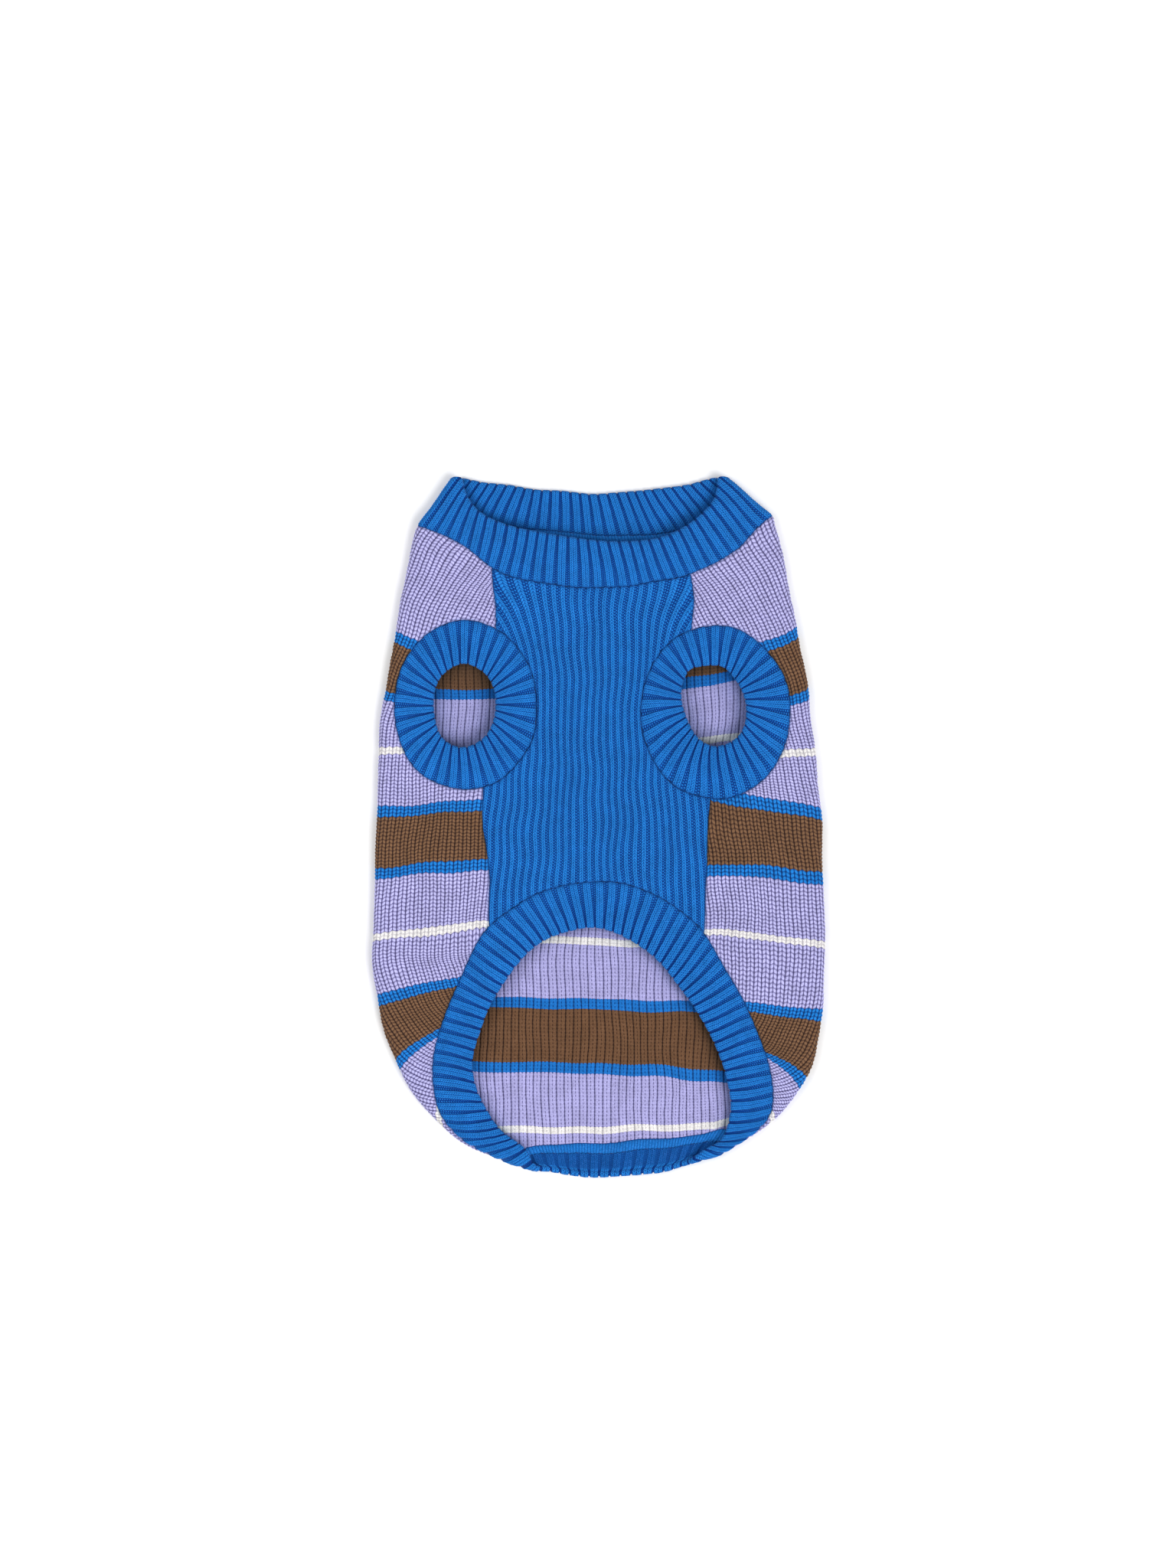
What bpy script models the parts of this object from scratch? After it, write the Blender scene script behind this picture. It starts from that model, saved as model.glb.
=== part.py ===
"""Knitted dog sweater, laid flat with its belly side up.

X runs to the right, Y towards the neck and Z up, away from the surface the sweater lies on.
Sizes are in millimetres and the meshes are written in metres. The origin is the middle of the
sweater's footprint, on that surface.

The back panel is one cloth that folds up round both sides on to the belly side. It is worked out in
an unfolded plane, where the back lies as it is and the two sides lie outside the folded edge, and
fold() then bends that plane round the edge. The belly panel closes the tube, and ribbed bands finish
the neck, the two leg holes and the cut edge under the belly.
"""

import math
from typing import NamedTuple

import bmesh
import bpy
import numpy as np
from mathutils import Vector
from mathutils.geometry import delaunay_2d_cdt

MM = 0.001

# Cloth, in millimetres
PANEL_WALL = 2.0
BAND_WALL = 2.2
FOLD_RADIUS = 3.2
SEAM_GAP = 0.3
HALF_GAP = SEAM_GAP / 2
FOLD_GAP_SHARE = 2.5

# How far the belly side rises above the folds, and over what width it does so
CROWN = 3.2
CROWN_REACH = 45.0
BELLY_FLAT_DEPTH = 20.0

# Ribs: how far they stand out, and how many there are
BELLY_RIB_RISE = 0.6
SIDE_RIB_RISE = 0.4
BAND_RIB_RISE = 0.7
SIDE_RIB_PITCH = 3.6
CUFF_RIBS = 34
HEM_RIBS = 80
COLLAR_FRONT_RIBS = 31
COLLAR_BACK_RIBS = 28
COLLAR_FOLD_COLUMNS = 4

# How far the open front of the collar arches up, and how far the cuffs swell
COLLAR_ARCH = 4.6
CUFF_SWELL = 0.9

COLLAR_ARCH_FULLNESS = 0.8

# Rows of points across each band, as shares of the way from its seam to its free edge
CUFF_ROWS = (0.0, 0.35, 0.7, 1.0)
HEM_ROWS = (0.0, 0.25, 0.5, 0.75, 1.0)
COLLAR_ROWS = (0.0, 0.33, 0.67, 1.0)

# Mesh steps, in millimetres
OUTLINE_STEP = 1.0
EDGE_STEP = 2.6
BELLY_ROW_STEP = 12.0
SIDE_ROW_STEP = 13.0
PLAIN_STEP = 14.0
RIB_MARGIN = 1.0
PLAIN_MARGIN = 4.0
PAST_NECK = 60.0
PAST_BELLY = 5.0
SIDE_START = 30.0
NEAR_EDGE = 1e-4
TINY = 1e-9

# Mesh counts: lines along the fold, edge points a line of them skips, and how much finer a seam's
# points are there; and the places at which a curve is read, between two of its points or in all
FOLD_LINES = 4
FOLD_ROW_SKIP = 4
FOLD_POINTS_SHARE = 2.0
CURVE_SAMPLES = 24
SEAM_SAMPLES = 60
LINE_SAMPLES = 400
SHARP_DEGREES = 40.0

FOLD_END = (math.pi - 1.0) * FOLD_RADIUS
FOLD_MIDDLE = (math.pi / 2 - 1.0) * FOLD_RADIUS


class Point(NamedTuple):
    """A place in plan."""

    x: float
    y: float


class Oval(NamedTuple):
    """An ellipse in plan: its middle and its two half widths."""

    x: float
    y: float
    half_x: float
    half_y: float


class SeamStation(NamedTuple):
    """One point of a seam, and the layer it lies on: belly, fold or back."""

    x: float
    y: float
    layer: str


class BandStation(NamedTuple):
    """One section of the hem band: its sewn side, its free side, and the layer each lies on."""

    seam_x: float
    seam_y: float
    seam_layer: str
    free_x: float
    free_y: float
    free_layer: str


# The folded edge, from the left end of the neck seam round the tail to the right end.
OUTLINE = (
    Point(-85.5, 141.0),
    Point(-87.4, 134.0),
    Point(-90.5, 120.8),
    Point(-94.9, 92.7),
    Point(-99.9, 68.9),
    Point(-102.8, 46.6),
    Point(-104.2, 14.2),
    Point(-105.8, -45.5),
    Point(-105.6, -67.9),
    Point(-100.6, -95.9),
    Point(-88.0, -123.7),
    Point(-69.7, -144.9),
    Point(-43.0, -158.2),
    Point(-11.0, -163.8),
    Point(10.3, -164.2),
    Point(31.1, -162.0),
    Point(59.2, -152.5),
    Point(84.4, -136.0),
    Point(97.4, -118.3),
    Point(103.4, -98.5),
    Point(105.9, -67.9),
    Point(105.0, -17.5),
    Point(102.4, 21.4),
    Point(99.9, 46.6),
    Point(97.7, 66.1),
    Point(92.7, 94.1),
    Point(87.3, 120.8),
    Point(83.4, 137.5),
    Point(81.9, 145.6),
)

# The neck seam, clockwise from the left fold: over the belly side, the right fold and the back.
NECK = (
    SeamStation(-84.8, 141.4, "fold"),
    SeamStation(-66.8, 134.1, "belly"),
    SeamStation(-50.2, 121.5, "belly"),
    SeamStation(-30.4, 115.0, "belly"),
    SeamStation(0.2, 112.1, "belly"),
    SeamStation(24.3, 114.7, "belly"),
    SeamStation(43.0, 118.6, "belly"),
    SeamStation(64.6, 130.5, "belly"),
    SeamStation(81.2, 146.0, "fold"),
    SeamStation(60.3, 140.9, "back"),
    SeamStation(35.1, 136.3, "back"),
    SeamStation(6.3, 134.5, "back"),
    SeamStation(-33.3, 138.0, "back"),
    SeamStation(-60.0, 140.4, "back"),
)
NECK_LEFT_SEAM = 2
NECK_RIGHT_SEAM = 6

# The seams between the belly panel and the back panel, above and below each leg hole.
SEAM_LEFT_ABOVE = (Point(-50.2, 121.5), Point(-48.6, 105.3), Point(-48.8, 92.7))
SEAM_LEFT_BELOW = (Point(-54.9, 18.1), Point(-54.2, 0.0), Point(-51.9, -22.0), Point(-50.9, -46.6))
SEAM_RIGHT_ABOVE = (Point(43.0, 118.6), Point(44.3, 106.0), Point(43.4, 92.1))
SEAM_RIGHT_BELOW = (Point(51.3, 12.9), Point(50.4, -6.3), Point(49.8, -30.0), Point(48.8, -50.2))

# Leg holes: where each cuff is sewn in, and its free edge.
LEG_LEFT_SEAM = Oval(-62.8, 56.7, 33.8, 39.6)
LEG_LEFT_HOLE = Oval(-63.4, 56.9, 14.6, 20.0)
LEG_RIGHT_SEAM = Oval(54.5, 53.5, 35.3, 40.7)
LEG_RIGHT_HOLE = Oval(54.2, 56.9, 15.5, 19.3)

# The hem band, clockwise from the middle of the belly cut.
HEM = (
    BandStation(3.1, -26.1, "belly", 2.3, -48.1, "belly"),
    BandStation(17.1, -28.3, "belly", 12.4, -51.3, "belly"),
    BandStation(31.1, -34.0, "belly", 21.1, -57.1, "belly"),
    BandStation(42.3, -42.7, "belly", 29.3, -64.6, "belly"),
    BandStation(48.8, -50.2, "belly", 34.4, -70.7, "belly"),
    BandStation(60.3, -68.9, "belly", 42.7, -82.3, "belly"),
    BandStation(68.2, -83.0, "belly", 49.1, -93.1, "belly"),
    BandStation(74.7, -97.4, "belly", 55.3, -105.0, "belly"),
    BandStation(79.4, -111.1, "belly", 59.6, -115.4, "belly"),
    BandStation(80.8, -124.0, "belly", 61.7, -126.9, "belly"),
    BandStation(79.7, -135.4, "belly", 61.0, -138.0, "belly"),
    BandStation(74.0, -143.4, "belly", 57.8, -146.3, "belly"),
    BandStation(59.4, -152.4, "fold", 50.2, -152.0, "belly"),
    BandStation(46.5, -148.6, "back", 39.8, -159.3, "fold"),
    BandStation(31.5, -147.4, "back", 28.6, -162.5, "fold"),
    BandStation(15.3, -148.0, "back", 13.5, -164.0, "fold"),
    BandStation(-0.9, -148.9, "back", -1.6, -164.2, "fold"),
    BandStation(-17.1, -149.4, "back", -14.5, -163.4, "fold"),
    BandStation(-33.0, -151.2, "back", -26.5, -161.6, "fold"),
    BandStation(-47.7, -156.3, "fold", -35.3, -151.2, "belly"),
    BandStation(-68.4, -143.7, "belly", -45.6, -142.6, "belly"),
    BandStation(-75.2, -134.6, "belly", -52.7, -133.2, "belly"),
    BandStation(-77.9, -119.7, "belly", -58.0, -123.1, "belly"),
    BandStation(-77.6, -106.6, "belly", -59.4, -111.0, "belly"),
    BandStation(-73.6, -91.6, "belly", -56.5, -97.4, "belly"),
    BandStation(-68.2, -76.9, "belly", -51.3, -84.8, "belly"),
    BandStation(-61.4, -61.7, "belly", -44.5, -73.3, "belly"),
    BandStation(-50.9, -46.6, "belly", -35.0, -61.4, "belly"),
    BandStation(-39.1, -36.9, "belly", -26.8, -54.5, "belly"),
    BandStation(-25.0, -30.1, "belly", -17.6, -50.0, "belly"),
    BandStation(-11.0, -26.8, "belly", -8.1, -47.6, "belly"),
)
HEM_RIGHT_SEAM = 4
HEM_LEFT_SEAM = 27

# The collar's free edge: front from left to right, back from right to left, and the two folds.
COLLAR_FREE_LEFT = Point(-68.2, 164.4)
COLLAR_FREE_RIGHT = Point(58.5, 164.6)
COLLAR_FREE_FRONT = (
    Point(-61.8, 155.0),
    Point(-52.7, 145.5),
    Point(-30.4, 138.4),
    Point(10.3, 133.4),
    Point(31.1, 136.3),
    Point(44.2, 142.6),
    Point(53.6, 153.6),
)
COLLAR_FREE_BACK = (
    Point(40.0, 161.0),
    Point(20.0, 158.2),
    Point(-2.7, 157.1),
    Point(-25.0, 158.4),
    Point(-48.0, 161.2),
)

# Belly ribs: their spacing and spread at three heights.
BELLY_RIB_MIDDLE = -0.9
BELLY_RIB_HEIGHTS = (-30.0, 57.4, 121.0)
BELLY_RIB_PITCHES = (3.76, 3.24, 3.96)
BELLY_RIB_COUNT_HALF = 15
FAN_BELOW, FAN_ABOVE, FAN_MOST, FAN_RIBS = 80.0, 121.0, 0.26, 11.0

# Side ribs run straight in the unfolded plane. Near the neck they are drawn outwards by this much,
# over this width beyond the folded edge and between these heights.
DRAWN_MOST, DRAWN_WIDTH, DRAWN_BELOW, DRAWN_ABOVE = 6.0, 45.0, 80.0, 140.0


class Yarn(NamedTuple):
    """A knit's colour and how rough it looks."""

    red: float
    green: float
    blue: float
    roughness: float


BLUE_YARN = Yarn(0.013, 0.150, 0.498, 0.85)
LILAC_YARN = Yarn(0.352, 0.339, 0.610, 0.88)


def clear_scene():
    """Remove every object, so that only the sweater is left."""
    for thing in list(bpy.data.objects):
        bpy.data.objects.remove(thing, do_unlink=True)


def smooth_step(value):
    """Rise smoothly from 0 to 1 as value goes from 0 to 1."""
    held = np.clip(value, 0.0, 1.0)
    return held * held * (3.0 - 2.0 * held)


def curve_at(points, place, closed=False):
    """Read a smooth curve through points at places counted in points from the first."""
    points = np.asarray(points, float)
    count = len(points)
    place = np.asarray(place, float)
    if closed:
        first = np.floor(place).astype(int)
        near = [points[(first + shift) % count] for shift in (-1, 0, 1, 2)]
    else:
        first = np.clip(np.floor(place).astype(int), 0, count - 2)
        padded = np.vstack([2 * points[0] - points[1], points, 2 * points[-1] - points[-2]])
        near = [padded[first + 1 + shift] for shift in (-1, 0, 1, 2)]
    part = (place - first)[:, None]
    spans = [np.sqrt(np.linalg.norm(near[k + 1] - near[k], axis=1))[:, None] for k in range(3)]
    before, span, after = (np.maximum(length, TINY) for length in spans)
    leave = (near[1] - near[0]) / before - (near[2] - near[0]) / (before + span)
    leave = (leave + (near[2] - near[1]) / span) * span
    arrive = (near[2] - near[1]) / span - (near[3] - near[1]) / (span + after)
    arrive = (arrive + (near[3] - near[2]) / after) * span
    square, cube = part**2, part**3
    return (
        (2 * cube - 3 * square + 1) * near[1]
        + (cube - 2 * square + part) * leave
        + (3 * square - 2 * cube) * near[2]
        + (cube - square) * arrive
    )


def lengths_along(points):
    """Distance of each point from the first, along the line."""
    steps = np.linalg.norm(np.diff(points, axis=0), axis=1)
    return np.concatenate([[0.0], np.cumsum(steps)])


def even_line(points, count):
    """The same line with count even pieces."""
    along = lengths_along(points)
    at = np.linspace(0.0, along[-1], count + 1)
    return np.stack([np.interp(at, along, points[:, k]) for k in range(points.shape[1])], axis=1)


def smooth_line(points, step=EDGE_STEP, count=None):
    """Even points on a smooth curve through the given ones."""
    fine = curve_at(points, np.linspace(0, len(points) - 1, CURVE_SAMPLES * (len(points) - 1) + 1))
    pieces = count or max(1, round(lengths_along(fine)[-1] / step))
    return even_line(fine, pieces)


class FoldedEdge:
    """The sweater's folded edge in plan, run on straight past the neck at both ends."""

    def __init__(self, points):
        line = smooth_line(np.array(points), step=OUTLINE_STEP)
        start = line[0] + (line[0] - line[3]) / np.linalg.norm(line[0] - line[3]) * PAST_NECK
        end = line[-1] + (line[-1] - line[-4]) / np.linalg.norm(line[-1] - line[-4]) * PAST_NECK
        self.points = np.vstack([start, line, end])
        run = np.gradient(self.points, axis=0)
        run /= np.linalg.norm(run, axis=1)[:, None]
        self.outward = np.stack([run[:, 1], -run[:, 0]], axis=1)

    def nearest(self, places):
        """The nearest point of the edge, the way out there, and the distance, inside negative."""
        places = np.asarray(places, float)
        start, step = self.points[:-1], np.diff(self.points, axis=0)
        offset = places[:, None, :] - start[None]
        share = np.clip((offset * step).sum(2) / (step**2).sum(1), 0.0, 1.0)
        gap = offset - share[..., None] * step
        best = (gap**2).sum(2).argmin(1)
        rows = np.arange(len(places))
        foot = start[best] + share[rows, best][:, None] * step[best]
        out = np.stack([step[best][:, 1], -step[best][:, 0]], axis=1)
        out /= np.linalg.norm(out, axis=1)[:, None]
        away = places - foot
        side = np.where((away * out).sum(1) < 0, -1.0, 1.0)
        length = np.linalg.norm(away, axis=1)
        apart = length > NEAR_EDGE
        out[apart] = away[apart] * (side[apart] / length[apart])[:, None]
        return foot, out, side * length


EDGE = FoldedEdge(OUTLINE)


def crown_at(depth):
    """Rise of the belly side above the folds, at a depth inside the edge."""
    return CROWN * smooth_step((depth - FOLD_RADIUS) / (CROWN_REACH - FOLD_RADIUS))


def unfold(places, layer):
    """Lay places of the folded sweater out in the unfolded plane."""
    places = np.asarray(places, float).reshape(-1, 2)
    if layer == "back":
        return places
    foot, out, far = EDGE.nearest(places)
    if layer == "fold":
        return foot + out * FOLD_MIDDLE
    depth = np.maximum(-far, 0.0)
    angle = np.arccos(np.clip(1.0 - depth / FOLD_RADIUS, -1.0, 1.0))
    in_fold = FOLD_RADIUS * (angle + math.pi / 2 - 1.0)
    laid = np.where(depth < FOLD_RADIUS, in_fold, FOLD_END + depth - FOLD_RADIUS)
    return foot + out * laid[:, None]


def fold(places, inward):
    """Bend the unfolded plane round the edge, inward millimetres inside the cloth's outer face."""
    places = np.asarray(places, float)
    inward = np.broadcast_to(inward, len(places))
    foot, out, far = EDGE.nearest(places)
    angle = np.clip((far + FOLD_RADIUS) / FOLD_RADIUS, 0.0, math.pi) - math.pi / 2
    radius = FOLD_RADIUS - inward
    depth = FOLD_RADIUS - radius * np.cos(angle) + np.maximum(far - FOLD_END, 0.0)
    height = FOLD_RADIUS + radius * np.sin(angle)
    height = height + np.where(far > FOLD_END, crown_at(depth), 0.0)
    plan = np.where((far > -FOLD_RADIUS)[:, None], foot - out * depth[:, None], places)
    return np.column_stack([plan, height])


def lay_on_belly(places, inward):
    """Lift places in plan on to the belly side, inward millimetres inside its outer face."""
    _, _, far = EDGE.nearest(places)
    flat = np.column_stack([places, 2 * FOLD_RADIUS + crown_at(-far) - inward])
    near = far > -BELLY_FLAT_DEPTH
    flat[near] = fold(unfold(places[near], "belly"), np.broadcast_to(inward, len(places))[near])
    return flat


def inside(places, loop):
    """Which places lie within a closed outline."""
    x, y = places[:, 0][:, None], places[:, 1][:, None]
    start, end = loop, np.roll(loop, -1, axis=0)
    spans = (start[:, 1] > y) != (end[:, 1] > y)
    rise = np.where(end[:, 1] == start[:, 1], TINY, end[:, 1] - start[:, 1])
    cross = start[:, 0] + (y - start[:, 1]) * (end[:, 0] - start[:, 0]) / rise
    return (spans & (x < cross)).sum(1) % 2 == 1


def room(places, loop):
    """Distance of each place from a closed outline."""
    start, step = loop, np.roll(loop, -1, axis=0) - loop
    offset = places[:, None, :] - start[None]
    share = np.clip((offset * step).sum(2) / np.maximum((step**2).sum(1), TINY), 0.0, 1.0)
    return np.sqrt(((offset - share[..., None] * step) ** 2).sum(2).min(1))


def shrink(loop, distance):
    """Move a closed outline inwards by a distance. It runs anticlockwise."""
    before = loop - np.roll(loop, 1, axis=0)
    after = np.roll(loop, -1, axis=0) - loop
    before /= np.linalg.norm(before, axis=1)[:, None]
    after /= np.linalg.norm(after, axis=1)[:, None]
    inward = np.stack([-before[:, 1] - after[:, 1], before[:, 0] + after[:, 0]], axis=1)
    inward /= np.maximum(np.linalg.norm(inward, axis=1), TINY)[:, None]
    lean = inward[:, 0] * -after[:, 1] + inward[:, 1] * after[:, 0]
    return loop + inward * (distance / np.maximum(lean, 0.5))[:, None]


def join(*lines):
    """One closed outline from lines that follow each other, anticlockwise."""
    loop = np.vstack([line[:-1] for line in lines])
    after = np.roll(loop, -1, axis=0)
    area = (loop[:, 0] * after[:, 1] - loop[:, 1] * after[:, 0]).sum()
    return loop if area > 0 else loop[::-1]


def rows_inside(rows, loop, margin, beyond=-math.inf):
    """The points of each line well inside an outline, and the edges that join them.

    They are kept only where they lie further out from the folded edge than beyond.
    """
    points, edges = [], []
    for row in rows:
        keep = inside(row, loop) & (room(row, loop) > margin) & (EDGE.nearest(row)[2] > beyond)
        for at, kept in enumerate(keep):
            if not kept:
                continue
            if at and keep[at - 1]:
                edges.append((len(points) - 1, len(points)))
            points.append(row[at])
    return np.array(points).reshape(-1, 2), edges


def grid_inside(loop, step, margin):
    """Points of a plain grid that lie well inside an outline."""
    low, high = loop.min(0), loop.max(0)
    across = np.arange(low[0] + step / 2, high[0], step)
    rows = [np.column_stack([across, np.full(len(across), y)]) for y in np.arange(low[1], high[1], step)]
    points, _ = rows_inside(rows, loop, margin)
    return points


def triangles_in(loop, points, edges):
    """Triangles that fill an outline and use every point. The outline's points come first."""
    count = len(loop)
    places = np.vstack([loop, points]) if len(points) else loop
    lines = [(at, (at + 1) % count) for at in range(count)]
    lines += [(start + count, end + count) for start, end in edges]
    corners = [Vector(place) for place in places]
    made = delaunay_2d_cdt(corners, lines, [], 0, 1e-6, True)
    placed, faces, sources = np.array([tuple(place) for place in made[0]]), np.array(made[2]), made[3]
    number = {old: new for new, olds in enumerate(sources) for old in olds}
    ring = [number[old] for old in range(count)]
    faces = faces[inside(placed[faces].mean(1), loop)]
    return placed, faces.tolist(), ring


def cloth_solid(outer, inner):
    """Close two faces of a cloth, which share their outline, into one mesh in metres."""
    (outer_points, outer_faces, outer_ring), (inner_points, inner_faces, inner_ring) = outer, inner
    mesh = bmesh.new()
    outer_made = [mesh.verts.new(Vector(point) * MM) for point in outer_points]
    inner_made = [mesh.verts.new(Vector(point) * MM) for point in inner_points]
    for face in outer_faces:
        mesh.faces.new([outer_made[at] for at in face])
    for face in inner_faces:
        mesh.faces.new([inner_made[at] for at in reversed(face)])
    for at, here in enumerate(outer_ring):
        there = outer_ring[(at + 1) % len(outer_ring)]
        below, beside = inner_ring[at], inner_ring[(at + 1) % len(inner_ring)]
        mesh.faces.new([outer_made[there], outer_made[here], inner_made[below], inner_made[beside]])
    bmesh.ops.recalc_face_normals(mesh, faces=mesh.faces)
    return mesh


def add_object(name, mesh, material):
    """Make a named object from a mesh and give it its yarn."""
    data = bpy.data.meshes.new(name)
    mesh.to_mesh(data)
    mesh.free()
    data.materials.append(material)
    data.shade_smooth()
    data.set_sharp_from_angle(angle=math.radians(SHARP_DEGREES))
    thing = bpy.data.objects.new(name, data)
    bpy.context.scene.collection.objects.link(thing)
    return thing


def yarn_material(name, yarn):
    """A plain wool material of one yarn's colour."""
    material = bpy.data.materials.new(name)
    material.use_nodes = True
    shader = material.node_tree.nodes["Principled BSDF"]
    shader.inputs["Base Color"].default_value = (yarn.red, yarn.green, yarn.blue, 1.0)
    shader.inputs["Roughness"].default_value = yarn.roughness
    shader.inputs["Metallic"].default_value = 0.0
    return material


def oval_arc(oval, start, end):
    """The part of an ellipse between two points near it, going anticlockwise."""
    first = math.atan2((start.y - oval.y) / oval.half_y, (start.x - oval.x) / oval.half_x)
    last = math.atan2((end.y - oval.y) / oval.half_y, (end.x - oval.x) / oval.half_x)
    if last <= first:
        last += 2 * math.pi
    size = (oval.half_x + oval.half_y) / 2
    angles = np.linspace(first, last, max(8, round((last - first) * size / EDGE_STEP)) + 1)
    return np.column_stack([oval.x + oval.half_x * np.cos(angles), oval.y + oval.half_y * np.sin(angles)])


def seam_ends(oval, above, below):
    """Where the seams above and below a leg hole meet its ellipse."""

    def reach(x):
        return math.sqrt(max(0.0, 1.0 - ((x - oval.x) / oval.half_x) ** 2)) * oval.half_y

    top, low = above[-1].x, below[0].x
    return Point(top, oval.y + reach(top)), Point(low, oval.y - reach(low))


def seam_path(plan, layers, at):
    """A closed seam at places counted in its stations, in plan and unfolded.

    Between two stations on the belly side it is a smooth curve in plan. Elsewhere it crosses the
    fold, so it is a smooth curve in the unfolded plane.
    """
    count = len(plan)
    flat = np.vstack([unfold([place], layer) for place, layer in zip(plan, layers)])
    in_plan = curve_at(plan, at, closed=True)
    in_flat = curve_at(flat, at, closed=True)
    first = np.floor(at).astype(int)
    lying = np.array([layer == "belly" for layer in layers])
    on_belly = lying[first % count] & lying[(first + 1) % count]
    in_flat[on_belly] = unfold(in_plan[on_belly], "belly")
    return in_plan, in_flat, on_belly


def hem_sides(at):
    """The hem band's sewn side and free side at places counted in stations."""
    seam = seam_path([(row.seam_x, row.seam_y) for row in HEM], [row.seam_layer for row in HEM], at)
    free = seam_path([(row.free_x, row.free_y) for row in HEM], [row.free_layer for row in HEM], at)
    return seam, free


def neck_seam(at):
    """The neck seam at places counted in stations."""
    return seam_path([(row.x, row.y) for row in NECK], [row.layer for row in NECK], at)


def part_of_seam(path, count, first, last, unfolded):
    """Even points of a closed seam between two of its stations, in either plane."""
    span = (last - first) % count
    at = first + np.linspace(0.0, span, CURVE_SAMPLES * span + 1)
    in_plan, in_flat, on_belly = path(at)
    steps = np.linalg.norm(np.diff(np.where(on_belly[:, None], in_plan, in_flat), axis=0), axis=1)
    steps = np.minimum(steps, np.linalg.norm(np.diff(in_flat, axis=0), axis=1))
    _, _, far = EDGE.nearest(in_flat[1:])
    steps *= np.where(np.abs(far - FOLD_MIDDLE) < FOLD_END, FOLD_POINTS_SHARE, 1.0)
    along = np.concatenate([[0.0], np.cumsum(steps)])
    even = np.interp(np.linspace(0.0, along[-1], round(along[-1] / EDGE_STEP) + 1), along, at)
    in_plan, in_flat, _ = path(even)
    return in_flat if unfolded else in_plan


def hem_part(first, last, unfolded):
    """The sewn side of the hem band between two stations."""
    return part_of_seam(lambda at: hem_sides(at)[0], len(HEM), first, last, unfolded)


def neck_part(first, last, unfolded):
    """The neck seam between two stations."""
    return part_of_seam(neck_seam, len(NECK), first, last, unfolded)


def belly_outline():
    """The belly panel's outline in plan."""
    left_top, left_low = seam_ends(LEG_LEFT_SEAM, SEAM_LEFT_ABOVE, SEAM_LEFT_BELOW)
    right_top, right_low = seam_ends(LEG_RIGHT_SEAM, SEAM_RIGHT_ABOVE, SEAM_RIGHT_BELOW)
    return join(
        smooth_line(np.array([left_top, *SEAM_LEFT_ABOVE[-2::-1]])),
        neck_part(NECK_LEFT_SEAM, NECK_RIGHT_SEAM, False),
        smooth_line(np.array([*SEAM_RIGHT_ABOVE[:-1], right_top])),
        oval_arc(LEG_RIGHT_SEAM, right_top, right_low),
        smooth_line(np.array([right_low, *SEAM_RIGHT_BELOW[1:]])),
        hem_part(HEM_LEFT_SEAM, HEM_RIGHT_SEAM, False)[::-1],
        smooth_line(np.array([*SEAM_LEFT_BELOW[:0:-1], left_low])),
        oval_arc(LEG_LEFT_SEAM, left_low, left_top),
    )


def back_outline():
    """The back panel's outline in the unfolded plane."""

    def side(line):
        return unfold(line, "belly")

    left_top, left_low = seam_ends(LEG_LEFT_SEAM, SEAM_LEFT_ABOVE, SEAM_LEFT_BELOW)
    right_top, right_low = seam_ends(LEG_RIGHT_SEAM, SEAM_RIGHT_ABOVE, SEAM_RIGHT_BELOW)
    return join(
        neck_part(NECK_RIGHT_SEAM, NECK_LEFT_SEAM, True),
        side(smooth_line(np.array([*SEAM_LEFT_ABOVE[:-1], left_top]))),
        side(oval_arc(LEG_LEFT_SEAM, left_top, left_low)),
        side(smooth_line(np.array([left_low, *SEAM_LEFT_BELOW[1:]]))),
        hem_part(HEM_RIGHT_SEAM, HEM_LEFT_SEAM, True)[::-1],
        side(smooth_line(np.array([*SEAM_RIGHT_BELOW[:0:-1], right_low]))),
        side(oval_arc(LEG_RIGHT_SEAM, right_low, right_top)),
        side(smooth_line(np.array([right_top, *SEAM_RIGHT_ABOVE[-2::-1]]))),
    )


def belly_rib_number(places):
    """Which rib of the belly panel a place lies on, counted from the middle one."""
    pitch = np.interp(places[:, 1], BELLY_RIB_HEIGHTS, BELLY_RIB_PITCHES)
    plain = (places[:, 0] - BELLY_RIB_MIDDLE) / pitch
    fan = FAN_MOST * smooth_step((places[:, 1] - FAN_BELOW) / (FAN_ABOVE - FAN_BELOW))
    return plain / (1.0 + fan * (plain / FAN_RIBS) ** 2)


def belly_rib_lines(loop):
    """A line down each crest and each groove of the belly panel's ribs."""
    low, high = loop[:, 1].min(), loop[:, 1].max()
    heights = np.linspace(low, high, round((high - low) / BELLY_ROW_STEP) + 1)
    across = np.linspace(loop[:, 0].min() - PAST_BELLY, loop[:, 0].max() + PAST_BELLY, LINE_SAMPLES)
    numbers = np.arange(-2 * BELLY_RIB_COUNT_HALF, 2 * BELLY_RIB_COUNT_HALF + 1) / 2
    table = []
    for height in heights:
        found = belly_rib_number(np.column_stack([across, np.full(len(across), height)]))
        table.append(np.interp(numbers, found, across))
    return [np.column_stack([column, heights]) for column in np.array(table).T]


def side_rib_number(places):
    """Which rib of the back panel an unfolded place lies on, counted from its middle line."""
    _, _, far = EDGE.nearest(places)
    near_neck = smooth_step((places[:, 1] - DRAWN_BELOW) / (DRAWN_ABOVE - DRAWN_BELOW))
    drawn = DRAWN_MOST * near_neck * smooth_step(far / DRAWN_WIDTH)
    return (places[:, 0] - np.sign(places[:, 0]) * drawn) / SIDE_RIB_PITCH


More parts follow.
